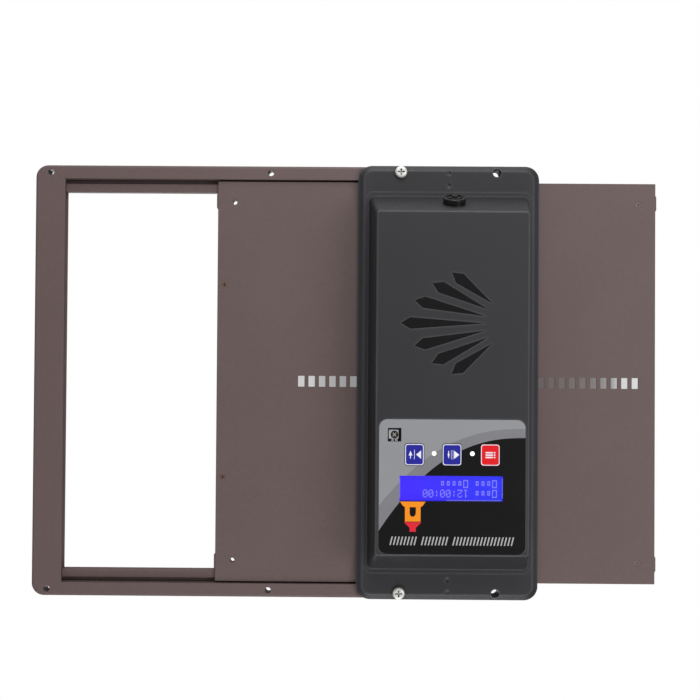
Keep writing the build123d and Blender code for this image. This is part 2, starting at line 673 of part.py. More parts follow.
with BuildPart() as fixing_screws:
    with BuildSketch(at(FIXING_TIP)):
        with Locations((FIXING_FRAME_X, HOLE_Z), (FIXING_FRAME_X, -HOLE_Z)):
            Circle(FIXING_SHANK_R)
    extrude(amount=FLANGE_FRONT - FIXING_TIP)
    with BuildSketch(at(FLANGE_FRONT)):
        with Locations((FIXING_FRAME_X, HOLE_Z), (FIXING_FRAME_X, -HOLE_Z)):
            Circle(FIXING_HEAD_R)
    extrude(amount=FIXING_HEAD_T)
    crowns = edges().filter_by(lambda e: abs(e.center().Y + FIXING_HEAD_TOP) < SNAP)
    fillet(crowns, 1.5)
    add(fixing_screw_recess, mode=Mode.SUBTRACT)
fixing_screws.part.label = "fixing_screws"
export_step(fixing_screws.part, "parts/fixing_screws.step")

# ---- face of the controller ----
with BuildPart() as face_label:
    with BuildSketch(at(BOX_FRONT - LABEL_T)):
        with Locations((LABEL_X, LABEL_Z)):
            RectangleRounded(LABEL_W - 0.2, LABEL_H - 0.2, LABEL_CORNER - 0.1)
        with Locations((SCREEN_X, SCREEN_Z)):
            Rectangle(SCREEN_W, SCREEN_H, mode=Mode.SUBTRACT)
        with Locations([(x, KEY_Z) for x in KEYS_X]):
            RectangleRounded(
                KEY_W + 2 * KEY_GAP, KEY_H + 2 * KEY_GAP, KEY_CORNER + KEY_GAP, mode=Mode.SUBTRACT
            )
        with Locations((CTRL_X + SENSOR_X, SENSOR_Z)):
            Rectangle(SENSOR_SIDE, SENSOR_SIDE, mode=Mode.SUBTRACT)
        with Locations([(x, LED_Z) for x in LEDS_X]):
            Circle(LED_R, mode=Mode.SUBTRACT)
    extrude(amount=LABEL_T)
face_label.part.label = "face_label"
export_step(face_label.part, "parts/face_label.step")

with BuildPart() as fan_inlays:
    with BuildSketch(at(BOX_FRONT - POCKET)):
        with Locations((FAN_X, FAN_Z)):
            add(fan_shapes)
    extrude(amount=POCKET - 0.1)
fan_inlays.part.label = "fan_inlays"
export_step(fan_inlays.part, "parts/fan_inlays.step")

SCREEN_GLASS_T = 1.5
GLASS_FRONT = BOX_FRONT - 0.9
BEZEL_W = 71.2
BEZEL_H = 24.6
BEZEL_FRONT = FACE_INNER
LCD_BOARD_FRONT = 39.4
LCD_BOARD_T = 1.6
LCD_BOARD_W = 80.0
LCD_BOARD_H = 32.0
BEZEL_T = 0.5
DISPLAY_T = 2.3  # the two glass plates of the display
DISPLAY_BACK = BEZEL_FRONT - BEZEL_T - DISPLAY_T

with BuildPart() as screen_window:
    with BuildSketch(at(GLASS_FRONT - SCREEN_GLASS_T)):
        with Locations((SCREEN_X, SCREEN_Z)):
            Rectangle(SCREEN_W - 0.2, SCREEN_H - 0.2)
    extrude(amount=SCREEN_GLASS_T)
screen_window.part.label = "screen_window"
export_step(screen_window.part, "parts/screen_window.step")

with BuildPart() as screen_glass:
    with BuildSketch(at(DISPLAY_BACK)):
        with Locations((SCREEN_X, SCREEN_Z)):
            Rectangle(BEZEL_W - 2, BEZEL_H - 2)
    extrude(amount=DISPLAY_T)
screen_glass.part.label = "screen_glass"
export_step(screen_glass.part, "parts/screen_glass.step")

with BuildPart() as screen_bezel:
    with BuildSketch(at(LCD_BOARD_FRONT)):
        with Locations((SCREEN_X, SCREEN_Z)):
            Rectangle(BEZEL_W, BEZEL_H)
            Rectangle(BEZEL_W - 2 * BEZEL_T, BEZEL_H - 2 * BEZEL_T, mode=Mode.SUBTRACT)
    extrude(amount=BEZEL_FRONT - BEZEL_T - LCD_BOARD_FRONT)
    with BuildSketch(at(BEZEL_FRONT - BEZEL_T)):
        with Locations((SCREEN_X, SCREEN_Z)):
            Rectangle(BEZEL_W, BEZEL_H)
            Rectangle(SCREEN_W, SCREEN_H, mode=Mode.SUBTRACT)
    extrude(amount=BEZEL_T)
screen_bezel.part.label = "screen_bezel"
export_step(screen_bezel.part, "parts/screen_bezel.step")

with BuildPart() as screen_board:
    with BuildSketch(at(LCD_BOARD_FRONT - LCD_BOARD_T)):
        with Locations((SCREEN_X, SCREEN_Z)):
            Rectangle(LCD_BOARD_W, LCD_BOARD_H)
    extrude(amount=LCD_BOARD_T)
    # backlight block behind the glass
    with BuildSketch(at(LCD_BOARD_FRONT)):
        with Locations((SCREEN_X, SCREEN_Z)):
            Rectangle(BEZEL_W - 2, BEZEL_H - 2)
    extrude(amount=DISPLAY_BACK - LCD_BOARD_FRONT)
screen_board.part.label = "screen_board"
export_step(screen_board.part, "parts/screen_board.step")

BOARD_T = 1.6
BOARD_BACK = BOARD_FRONT - BOARD_T
with BuildPart() as main_board:
    with BuildSketch(at(BOARD_BACK)):
        with Locations((CTRL_X, (BOARD_Z0 + BOARD_Z1) / 2)):
            Rectangle(BOARD_W, BOARD_Z1 - BOARD_Z0)
        with Locations([(CTRL_X + x, z) for x, z in BOARD_POSTS]):
            Circle(SCREW_PILOT_R + 0.1, mode=Mode.SUBTRACT)
    extrude(amount=BOARD_T)
main_board.part.label = "main_board"
export_step(main_board.part, "parts/main_board.step")

CHIPS = [  # x and z from the controller's centre line, width, height, thickness
    (-14.0, 62.0, 12.0, 12.0, 1.6),
    (12.0, 60.0, 9.0, 6.0, 1.5),
    (22.0, 34.0, 15.0, 12.0, 10.0),
    (-2.0, 28.0, 16.0, 8.0, 9.0),
    (-25.0, 30.0, 10.0, 10.0, 8.0),
]
with BuildPart() as board_components:
    for x, z, width, height, thick in CHIPS:
        with BuildSketch(at(BOARD_BACK)):
            with Locations((CTRL_X + x, z)):
                Rectangle(width, height)
        extrude(amount=-thick)
board_components.part.label = "board_components"
export_step(board_components.part, "parts/board_components.step")

HEADER_L = 40.6  # sixteen pins at 2.54
HEADER_W = 2.5
with BuildPart() as screen_header:
    with BuildSketch(at(BOARD_FRONT)):
        with Locations((SCREEN_X - 10, SCREEN_Z + 14)):
            Rectangle(HEADER_L, HEADER_W)
    extrude(amount=LCD_BOARD_FRONT - LCD_BOARD_T - BOARD_FRONT)
screen_header.part.label = "screen_header"
export_step(screen_header.part, "parts/screen_header.step")

board_screw_recess = cross_recess(
    [back_at(CTRL_X + x, z, BOARD_BACK - PAN_HEAD_T) for x, z in BOARD_POSTS], 2.6, 1.0
)

with BuildPart() as board_screws:
    for x, z in BOARD_POSTS:
        with BuildSketch(at(BOARD_BACK)):
            with Locations((CTRL_X + x, z)):
                Circle(SCREW_PILOT_R)
        extrude(amount=8)
        with BuildSketch(at(BOARD_BACK)):
            with Locations((CTRL_X + x, z)):
                Circle(M3_HEAD_R)
        extrude(amount=-PAN_HEAD_T)
    add(board_screw_recess, mode=Mode.SUBTRACT)
board_screws.part.label = "board_screws"
export_step(board_screws.part, "parts/board_screws.step")

# ---- keys ----
SWITCH_SIDE = 6.0
SWITCH_BODY_T = 3.5
SWITCH_STEM_R = 1.75
SWITCH_TOP = BOARD_FRONT + 5.0
KEY_STEM_R = 2.0
KEY_FLANGE_T = 1.0
KEY_FLANGE_FRONT = FACE_INNER - 0.1


def key_cap(x):
    """Key: cap through the label, retaining flange behind the wall and stem over its switch."""
    with BuildPart() as key:
        with BuildSketch(at(KEY_FLANGE_FRONT)):
            with Locations((x, KEY_Z)):
                RectangleRounded(KEY_W, KEY_H, KEY_CORNER)
        extrude(amount=BOX_FRONT + KEY_PROUD - KEY_FLANGE_FRONT)
        fillet(faces().sort_by(Axis.Y)[0].edges(), 0.25)
        with BuildSketch(at(KEY_FLANGE_FRONT - KEY_FLANGE_T)):
            with Locations((x, KEY_Z)):
                RectangleRounded(KEY_W + 3, KEY_H + 1.6, KEY_CORNER)
        extrude(amount=KEY_FLANGE_T)
        stem = KEY_FLANGE_FRONT - KEY_FLANGE_T - SWITCH_TOP - KEY_TRAVEL - RUN_CLEAR
        with BuildSketch(at(KEY_FLANGE_FRONT - KEY_FLANGE_T)):
            with Locations((x, KEY_Z)):
                Circle(KEY_STEM_R)
        extrude(amount=-stem)
    return key


key_open = key_cap(KEYS_X[0])
key_open.part.label = "key_open"
export_step(key_open.part, "parts/key_open.step")

key_close = key_cap(KEYS_X[1])
key_close.part.label = "key_close"
export_step(key_close.part, "parts/key_close.step")

key_menu = key_cap(KEYS_X[2])
key_menu.part.label = "key_menu"
export_step(key_menu.part, "parts/key_menu.step")

with BuildPart() as key_switches:
    with BuildSketch(at(BOARD_FRONT)):
        with Locations([(x, KEY_Z) for x in KEYS_X]):
            Rectangle(SWITCH_SIDE, SWITCH_SIDE)
    extrude(amount=SWITCH_BODY_T)
    with BuildSketch(at(BOARD_FRONT + SWITCH_BODY_T)):
        with Locations([(x, KEY_Z) for x in KEYS_X]):
            Circle(SWITCH_STEM_R)
    extrude(amount=SWITCH_TOP - BOARD_FRONT - SWITCH_BODY_T)
key_switches.part.label = "key_switches"
export_step(key_switches.part, "parts/key_switches.step")

LED_BODY_R = 2.0
LED_SHOULDER = FACE_INNER - 0.3
with BuildPart() as status_lights:
    with BuildSketch(at(BOARD_FRONT)):
        with Locations([(x, LED_Z) for x in LEDS_X]):
            Circle(LED_BODY_R)
    extrude(amount=LED_SHOULDER - BOARD_FRONT)
    with BuildSketch(at(LED_SHOULDER)):
        with Locations([(x, LED_Z) for x in LEDS_X]):
            Circle(LED_R - RUN_CLEAR)
    extrude(amount=BOX_FRONT - 0.1 - LED_SHOULDER)
status_lights.part.label = "status_lights"
export_step(status_lights.part, "parts/status_lights.step")

with BuildPart() as sensor_window:
    with BuildSketch(at(BOX_FRONT - 1.6)):
        with Locations((CTRL_X + SENSOR_X, SENSOR_Z)):
            Rectangle(SENSOR_SIDE - 0.2, SENSOR_SIDE - 0.2)
    extrude(amount=1.5)
sensor_window.part.label = "sensor_window"
export_step(sensor_window.part, "parts/sensor_window.step")

CELL_R = 2.5
CELL_T = 2.0
CELL_BACK = BOX_FRONT - 4.2
LEAD_R = 0.3
LEAD_X = 1.3
with BuildPart() as light_sensor:
    with BuildSketch(at(CELL_BACK)):
        with Locations((CTRL_X + SENSOR_X, SENSOR_Z)):
            Circle(CELL_R)
    extrude(amount=CELL_T)
    with BuildSketch(at(BOARD_FRONT)):
        with Locations(
            (CTRL_X + SENSOR_X - LEAD_X, SENSOR_Z),
            (CTRL_X + SENSOR_X + LEAD_X, SENSOR_Z),
        ):
            Circle(LEAD_R)
    extrude(amount=CELL_BACK - BOARD_FRONT)
light_sensor.part.label = "light_sensor"
export_step(light_sensor.part, "parts/light_sensor.step")

# ---- drive ----
BRACKET_T = 1.5
BRACKET_W = 30.0
BRACKET_TAB_W = 48.0
LOWER_PLATE_TOP = -11.0
UPPER_PLATE_BOTTOM = 8.0
PLATE_BACK = 13.2
BUSH_R = 4.0
BUSH_FLANGE_R = 5.0
BUSH_FLANGE_T = 0.8
UPPER_BUSH_L = 3.0
HUB_R = 5.0
SHAFT_Z0 = LOWER_PLATE_TOP - BRACKET_T + 0.1
SHAFT_Z1 = 13.0
CLIP_Z = SHAFT_Z1 - 1.7
CLIP_T = 0.6
CLIP_R = 4.2
CLIP_MOUTH = 2.6
GROOVE_R = SHAFT_R - 0.5
MOTOR_TOP = LOWER_PLATE_TOP - BRACKET_T
MOTOR_BOSS_R = 3.5
GEARMOTOR_SCREWS = (8.5, -8.5)
BRACKET_BACK = BRACKET_FRONT - BRACKET_T

with BuildPart() as motor_bracket:
    # web against the housing's front wall, with tabs for its screws
    with BuildSketch(at(BRACKET_BACK)):
        with Locations((SPROCKET_X, (LOWER_PLATE_TOP + UPPER_PLATE_BOTTOM) / 2)):
            Rectangle(BRACKET_TAB_W, UPPER_PLATE_BOTTOM - LOWER_PLATE_TOP + 2 * BRACKET_T)
        with Locations([(SPROCKET_X + x, z) for x, z in BRACKET_SCREWS]):
            Circle(M3_CLEAR_R, mode=Mode.SUBTRACT)
    extrude(amount=BRACKET_T)
    for plate_z in (LOWER_PLATE_TOP - BRACKET_T, UPPER_PLATE_BOTTOM):
        with BuildSketch(level(plate_z)):
            with Locations((SPROCKET_X, -(BRACKET_FRONT + PLATE_BACK) / 2)):
                Rectangle(BRACKET_W, BRACKET_FRONT - PLATE_BACK)
            with Locations((SPROCKET_X, -SPROCKET_DEPTH)):
                Circle(BUSH_R, mode=Mode.SUBTRACT)
        extrude(amount=BRACKET_T)
    with BuildSketch(level(LOWER_PLATE_TOP - BRACKET_T)):
        with Locations((SPROCKET_X, -MOTOR_DEPTH)):
            Circle(MOTOR_BOSS_R)
        with Locations([(SPROCKET_X + x, -MOTOR_DEPTH) for x in GEARMOTOR_SCREWS]):
            Circle(M3_CLEAR_R)
    extrude(amount=BRACKET_T, mode=Mode.SUBTRACT)
motor_bracket.part.label = "motor_bracket"
export_step(motor_bracket.part, "parts/motor_bracket.step")

with BuildPart() as bracket_screws:
    for x, z in BRACKET_SCREWS:
        with BuildSketch(at(BRACKET_BACK)):
            with Locations((SPROCKET_X + x, z)):
                Circle(SCREW_PILOT_R)
        extrude(amount=4.2)
        with BuildSketch(at(BRACKET_BACK)):
            with Locations((SPROCKET_X + x, z)):
                Circle(M3_HEAD_R)
        extrude(amount=-PAN_HEAD_T)
bracket_screws.part.label = "bracket_screws"
export_step(bracket_screws.part, "parts/bracket_screws.step")

with BuildPart() as shaft_bushes:
    for inner_z, outward, length in (
        (LOWER_PLATE_TOP, -1, BRACKET_T),
        (UPPER_PLATE_BOTTOM, 1, UPPER_BUSH_L),
    ):
        with BuildSketch(level(inner_z, SPROCKET_X, SPROCKET_DEPTH)):
            Circle(BUSH_FLANGE_R)
            Circle(SHAFT_R + RUN_CLEAR, mode=Mode.SUBTRACT)
        extrude(amount=-outward * BUSH_FLANGE_T)
        with BuildSketch(level(inner_z, SPROCKET_X, SPROCKET_DEPTH)):
            Circle(BUSH_R)
            Circle(SHAFT_R + RUN_CLEAR, mode=Mode.SUBTRACT)
        extrude(amount=outward * length)
shaft_bushes.part.label = "shaft_bushes"
export_step(shaft_bushes.part, "parts/shaft_bushes.step")

with BuildPart() as sprocket_shaft:
    with BuildSketch(level(SHAFT_Z0, SPROCKET_X, SPROCKET_DEPTH)):
        Circle(SHAFT_R)
    extrude(amount=SHAFT_Z1 - SHAFT_Z0)
    chamfer(edges().filter_by(GeomType.CIRCLE), 0.4)
    # groove for the retaining clip
    with BuildSketch(level(CLIP_Z - 0.1, SPROCKET_X, SPROCKET_DEPTH)):
        Circle(SHAFT_R)
        Circle(GROOVE_R, mode=Mode.SUBTRACT)
    extrude(amount=CLIP_T + 0.2, mode=Mode.SUBTRACT)
sprocket_shaft.part.label = "sprocket_shaft"
export_step(sprocket_shaft.part, "parts/sprocket_shaft.step")

with BuildPart() as shaft_clip:
    with BuildSketch(level(CLIP_Z, SPROCKET_X, SPROCKET_DEPTH)):
        Circle(CLIP_R)
        Circle(GROOVE_R, mode=Mode.SUBTRACT)
        with Locations((0, (CLIP_R + GROOVE_R) / 2)):
            Rectangle(CLIP_MOUTH, 4.0, mode=Mode.SUBTRACT)
    extrude(amount=CLIP_T)
shaft_clip.part.label = "shaft_clip"
export_step(shaft_clip.part, "parts/shaft_clip.step")

SPROCKET_ROOT_R = 8.4
# half-angle of a sprocket tooth, in radians, at radii from the root to the tip
SPROCKET_FLANK = [(8.2, 0.215), (10.2, 0.175), (11.6, 0.148), (12.6, 0.108), (13.2, 0.07)]


def polar_point(radius, angle, start=0.0):
    """Point at an angle measured from the local +Y direction."""
    return (radius * math.sin(angle + start), radius * math.cos(angle + start))


def tooth_outline(flank, start):
    """Closed outline of one tooth, symmetric about the direction start."""
    one_side = [polar_point(radius, -half, start) for radius, half in flank]
    other_side = [polar_point(radius, half, start) for radius, half in reversed(flank)]
    return one_side + other_side


PRESSURE_ANGLE = math.radians(20)
TOOTH_THINNING = 0.06
FLANK_POINTS = 6


def gear_root(teeth):
    """Root radius of a gear."""
    return GEAR_MODULE * teeth / 2 - 1.2 * GEAR_MODULE


def involute_flank(teeth):
    """Radii and half-angles of a gear tooth, thinned a little for backlash."""
    pitch_r = GEAR_MODULE * teeth / 2
    base_r = pitch_r * math.cos(PRESSURE_ANGLE)
    tip_r = pitch_r + 0.9 * GEAR_MODULE
    root_r = gear_root(teeth)
    half_at_pitch = math.pi / (2 * teeth) - TOOTH_THINNING / pitch_r
    involute = math.tan(PRESSURE_ANGLE) - PRESSURE_ANGLE
    flank = [(root_r - 0.1, half_at_pitch + involute)]
    start_r = max(base_r, root_r)
    for step in range(FLANK_POINTS):
        radius = start_r + (tip_r - start_r) * step / (FLANK_POINTS - 1)
        roll = math.sqrt(max((radius / base_r) ** 2 - 1, 0))
        flank.append((radius, half_at_pitch + involute - (roll - math.atan(roll))))
    return flank


with BuildPart() as drive_sprocket:
    with BuildSketch(level(-SPROCKET_T / 2, SPROCKET_X, SPROCKET_DEPTH)):
        Circle(SPROCKET_ROOT_R)
        for index in range(SPROCKET_TEETH):
            with BuildLine():
                Polyline(*tooth_outline(SPROCKET_FLANK, index * math.tau / SPROCKET_TEETH), close=True)
            make_face()
        Circle(SHAFT_R, mode=Mode.SUBTRACT)
    extrude(amount=SPROCKET_T)
    with BuildSketch(level(SPROCKET_T / 2, SPROCKET_X, SPROCKET_DEPTH)):
        Circle(HUB_R)
        Circle(SHAFT_R, mode=Mode.SUBTRACT)
    extrude(amount=UPPER_PLATE_BOTTOM - BUSH_FLANGE_T - 0.3 - SPROCKET_T / 2)
drive_sprocket.part.label = "drive_sprocket"
export_step(drive_sprocket.part, "parts/drive_sprocket.step")

with BuildPart() as sprocket_gear:
    with BuildSketch(level(GEAR_TOP - GEAR_T, SPROCKET_X, SPROCKET_DEPTH)):
        Circle(gear_root(GEAR_TEETH))
        for index in range(GEAR_TEETH):
            start = math.pi + index * math.tau / GEAR_TEETH
            with BuildLine():
                Polyline(*tooth_outline(involute_flank(GEAR_TEETH), start), close=True)
            make_face()
        Circle(SHAFT_R, mode=Mode.SUBTRACT)
    extrude(amount=GEAR_T)
    with BuildSketch(level(GEAR_TOP, SPROCKET_X, SPROCKET_DEPTH)):
        Circle(HUB_R)
        Circle(SHAFT_R, mode=Mode.SUBTRACT)
    extrude(amount=-SPROCKET_T / 2 - GEAR_TOP)
sprocket_gear.part.label = "sprocket_gear"
export_step(sprocket_gear.part, "parts/sprocket_gear.step")

with BuildPart() as drive_pinion:
    with BuildSketch(level(GEAR_TOP - GEAR_T, SPROCKET_X, MOTOR_DEPTH)):
        Circle(gear_root(PINION_TEETH))
        for index in range(PINION_TEETH):
            start = (index + 0.5) * math.tau / PINION_TEETH
            with BuildLine():
                Polyline(*tooth_outline(involute_flank(PINION_TEETH), start), close=True)
            make_face()
        Circle(MOTOR_SHAFT_R, mode=Mode.SUBTRACT)
    extrude(amount=GEAR_T)
drive_pinion.part.label = "drive_pinion"
export_step(drive_pinion.part, "parts/drive_pinion.step")

GEARBOX_R = 12.5
GEARBOX_H = 19.0
MOTOR_R = 12.2
MOTOR_H = 30.0
OUTPUT_IN = 6.0  # length of the output shaft inside the gearbox
GEARMOTOR_SCREW_L = 4.5
with BuildPart() as motor_output_shaft:
    with BuildSketch(level(MOTOR_TOP - OUTPUT_IN, SPROCKET_X, MOTOR_DEPTH)):
        Circle(MOTOR_SHAFT_R)
    extrude(amount=GEAR_TOP + 0.8 - MOTOR_TOP + OUTPUT_IN)
motor_output_shaft.part.label = "motor_output_shaft"
export_step(motor_output_shaft.part, "parts/motor_output_shaft.step")

with BuildPart() as gearbox_can:
    with BuildSketch(level(MOTOR_TOP, SPROCKET_X, MOTOR_DEPTH)):
        Circle(GEARBOX_R)
    extrude(amount=-GEARBOX_H)
    fillet(edges().group_by(Axis.Z)[0], 0.6)
    with BuildSketch(level(MOTOR_TOP, SPROCKET_X, MOTOR_DEPTH)):
        Circle(MOTOR_BOSS_R - 0.1)
    extrude(amount=BRACKET_T)
    with BuildSketch(level(MOTOR_TOP + BRACKET_T, SPROCKET_X, MOTOR_DEPTH)):
        Circle(MOTOR_SHAFT_R + RUN_CLEAR)
    extrude(amount=-BRACKET_T - OUTPUT_IN - 0.2, mode=Mode.SUBTRACT)
    with BuildSketch(level(MOTOR_TOP, SPROCKET_X, MOTOR_DEPTH)):
        with Locations([(x, 0) for x in GEARMOTOR_SCREWS]):
            Circle(M3_R)
    extrude(amount=-GEARMOTOR_SCREW_L - 0.5, mode=Mode.SUBTRACT)
gearbox_can.part.label = "gearbox_can"
export_step(gearbox_can.part, "parts/gearbox_can.step")

with BuildPart() as gearmotor_screws:
    with BuildSketch(level(MOTOR_TOP + BRACKET_T, SPROCKET_X, MOTOR_DEPTH)):
        with Locations([(x, 0) for x in GEARMOTOR_SCREWS]):
            Circle(M3_R)
    extrude(amount=-BRACKET_T - GEARMOTOR_SCREW_L)
    with BuildSketch(level(MOTOR_TOP + BRACKET_T, SPROCKET_X, MOTOR_DEPTH)):
        with Locations([(x, 0) for x in GEARMOTOR_SCREWS]):
            Circle(M3_HEAD_R)
    extrude(amount=1.6)
gearmotor_screws.part.label = "gearmotor_screws"
export_step(gearmotor_screws.part, "parts/gearmotor_screws.step")

MOTOR_BOTTOM = MOTOR_TOP - GEARBOX_H - MOTOR_H
TERMINAL_PLATE_R = 8.5
TERMINAL_PLATE_T = 1.6
TERMINAL_X = 6.5
with BuildPart() as motor_can:
    with BuildSketch(level(MOTOR_TOP - GEARBOX_H, SPROCKET_X, MOTOR_DEPTH)):
        Circle(MOTOR_R)
    extrude(amount=-MOTOR_H)
    fillet(edges().group_by(Axis.Z)[0], 1.5)
motor_can.part.label = "motor_can"
export_step(motor_can.part, "parts/motor_can.step")

with BuildPart() as motor_terminals:
    with BuildSketch(level(MOTOR_BOTTOM, SPROCKET_X, MOTOR_DEPTH)):
        Circle(TERMINAL_PLATE_R)
    extrude(amount=-TERMINAL_PLATE_T)
    with BuildSketch(level(MOTOR_BOTTOM - TERMINAL_PLATE_T, SPROCKET_X, MOTOR_DEPTH)):
        with Locations((TERMINAL_X, 0), (-TERMINAL_X, 0)):
            Rectangle(0.6, 2.4)
    extrude(amount=-4.0)
motor_terminals.part.label = "motor_terminals"
export_step(motor_terminals.part, "parts/motor_terminals.step")

# ---- DC inlet ----
INLET_FLANGE_R = 7.2
INLET_FLANGE_T = 2.2
INLET_BODY_IN = 11.0
# thickness of the sloping wall along the inlet's axis, with a little to spare
INLET_WALL = WALL * (SLOPE_RISE + SLOPE_RUN) / SLOPE_LENGTH + RUN_CLEAR
INLET_BODY_R = INLET_R - 0.1
INLET_PIN_R = 1.0
INLET_BORE_L = 9.5
INLET_BORE_R = 2.85
CAP_R = 7.2
CAP_T = 1.8
CAP_GAP = 0.02
CAP_PLUG_L = 4.0
CAP_ARC_R = 5.4
CAP_ARC_T = 0.6
with BuildPart() as dc_inlet:
    with BuildSketch(inlet_plane):
        Circle(INLET_FLANGE_R)
    extrude(amount=INLET_FLANGE_T)
    with BuildSketch(inlet_plane):
        Circle(INLET_BODY_R)
    extrude(amount=-INLET_BODY_IN)
    with BuildSketch(inlet_plane.offset(INLET_FLANGE_T)):
        Circle(INLET_BORE_R)
        Circle(INLET_PIN_R, mode=Mode.SUBTRACT)
    extrude(amount=-INLET_BORE_L, mode=Mode.SUBTRACT)
dc_inlet.part.label = "dc_inlet"
export_step(dc_inlet.part, "parts/dc_inlet.step")

with BuildPart() as dc_inlet_nut:
    with BuildSketch(inlet_plane.offset(-INLET_WALL)):
        RegularPolygon(8.2, 6)
        Circle(INLET_BODY_R, mode=Mode.SUBTRACT)
    extrude(amount=-2.5)
dc_inlet_nut.part.label = "dc_inlet_nut"
export_step(dc_inlet_nut.part, "parts/dc_inlet_nut.step")

with BuildPart() as dc_cap:
    with BuildSketch(inlet_plane.offset(INLET_FLANGE_T + CAP_GAP)):
        Circle(CAP_R)
    extrude(amount=CAP_T)
    fillet(edges().filter_by(lambda e: e.length > 40).sort_by(Axis.Z)[0], 0.8)
    # raised arcs and a pull tab on the cap
    with BuildSketch(inlet_plane.offset(INLET_FLANGE_T + CAP_T)):
        Circle(CAP_ARC_R)
        Circle(CAP_ARC_R - 0.8, mode=Mode.SUBTRACT)
        Rectangle(2 * CAP_R, 2.6, mode=Mode.SUBTRACT)
    extrude(amount=CAP_ARC_T)
    with BuildSketch(inlet_plane.offset(INLET_FLANGE_T + CAP_T)):
        RectangleRounded(3.2, 6.4, 1.0)
    extrude(amount=1.5)
    # hollow plug that fills the socket round its centre pin
    with BuildSketch(inlet_plane.offset(INLET_FLANGE_T + CAP_GAP)):
        Circle(INLET_BORE_R - 0.1)
        Circle(INLET_PIN_R + 0.15, mode=Mode.SUBTRACT)
    extrude(amount=-CAP_PLUG_L)
dc_cap.part.label = "dc_cap"
export_step(dc_cap.part, "parts/dc_cap.step")
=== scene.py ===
import json
import math

import bmesh
import bpy
from mathutils import Matrix, Vector
from mathutils.geometry import delaunay_2d_cdt


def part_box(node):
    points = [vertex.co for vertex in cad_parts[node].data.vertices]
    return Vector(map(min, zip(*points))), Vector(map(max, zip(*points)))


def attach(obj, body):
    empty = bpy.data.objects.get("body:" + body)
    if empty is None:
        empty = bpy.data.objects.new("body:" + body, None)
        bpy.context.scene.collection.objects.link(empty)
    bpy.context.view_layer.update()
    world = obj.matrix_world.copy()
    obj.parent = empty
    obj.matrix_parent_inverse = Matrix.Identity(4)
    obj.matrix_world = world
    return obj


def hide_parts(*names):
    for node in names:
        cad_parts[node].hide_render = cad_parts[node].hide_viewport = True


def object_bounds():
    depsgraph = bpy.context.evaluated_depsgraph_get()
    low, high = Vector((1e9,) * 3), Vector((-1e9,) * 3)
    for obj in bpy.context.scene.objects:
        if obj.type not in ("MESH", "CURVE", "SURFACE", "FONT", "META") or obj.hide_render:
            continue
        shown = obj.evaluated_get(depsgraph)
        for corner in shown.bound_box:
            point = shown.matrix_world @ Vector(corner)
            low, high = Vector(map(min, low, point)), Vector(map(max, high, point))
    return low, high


# Looks of the automatic coop door. Metres, in the CAD's frame: +Z up, the front faces -Y,
# and the camera is rolled half a turn because the door is pictured upside down.

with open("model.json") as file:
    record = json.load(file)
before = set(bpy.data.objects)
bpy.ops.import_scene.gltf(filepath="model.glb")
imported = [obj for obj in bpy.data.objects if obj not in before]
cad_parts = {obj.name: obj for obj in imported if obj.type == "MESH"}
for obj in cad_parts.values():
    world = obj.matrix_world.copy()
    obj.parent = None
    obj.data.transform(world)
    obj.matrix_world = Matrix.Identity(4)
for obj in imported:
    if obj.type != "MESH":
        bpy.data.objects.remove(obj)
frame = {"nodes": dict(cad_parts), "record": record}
cad_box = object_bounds()
FIXED = "fixed_frame"
DOOR = "door"
MM = 0.001

# ---- camera ----
CAMERA_PLACE = (-0.12755, -0.69816, -0.00985)  # metres
SENSOR_WIDTH = 36.0  # mm
CAMERA_LENS = 54.5  # mm
CAMERA_PITCH = 0.0155  # radians, after the half turn
CAMERA_YAW = 0.0052
CAMERA_TURN = 0.0069
CAMERA_NEAR, CAMERA_FAR = 0.01, 20.0


def make_camera():
    """Camera in front of the door, rolled half a turn."""
    data = bpy.data.cameras.new("camera")
    data.sensor_width = SENSOR_WIDTH
    data.lens = CAMERA_LENS
    data.clip_start = CAMERA_NEAR
    data.clip_end = CAMERA_FAR
    camera = bpy.data.objects.new("camera", data)
    bpy.context.scene.collection.objects.link(camera)
    # right, up and back directions of a camera that looks along +Y with its top towards -Z
    facing = Matrix(((-1, 0, 0), (0, 0, -1), (0, -1, 0))).transposed()
    pitch = Matrix.Rotation(CAMERA_PITCH, 3, "X")
    yaw = Matrix.Rotation(CAMERA_YAW, 3, "Y")
    turn = Matrix.Rotation(CAMERA_TURN, 3, "Z")
    rotation = (facing @ pitch @ yaw @ turn).to_4x4()
    camera.matrix_world = Matrix.Translation(CAMERA_PLACE) @ rotation
    bpy.context.scene.camera = camera


make_camera()


# ---- material tools ----
WHITE = (1.0, 1.0, 1.0, 1.0)
SRGB_FOOT = 10  # display values up to this lie on the curve's straight part
SRGB_FOOT_SLOPE = 1 / 3295


def straightened(value):
    """Linear value of one 0-255 display value, by the sRGB curve."""
    if value <= SRGB_FOOT:
        return value * SRGB_FOOT_SLOPE
    return ((value / 255 + 0.055) / 1.055) ** 2.4


def linear(red, green, blue):
    """Linear colour from the 0-255 values of a display."""
    return straightened(red), straightened(green), straightened(blue), 1.0


def scaled(color, factor):
    """The same colour, lighter or darker."""
    return tuple(min(1.0, c * factor) for c in color[:3]) + (1.0,)


EDGE_SAMPLES = 4
SHARP_EDGE = (0.97, 0.75)  # agreement of rounded and flat normals where the lighter edges start and are full
BLUNT_EDGE = (0.997, 0.965)
DEEP_RECESS = 0.35  # openness at which the painted shade is full
# how light the painted shade in recesses is, as a part of the base colour
PAINTED_SHADE_LEVEL = 0.12


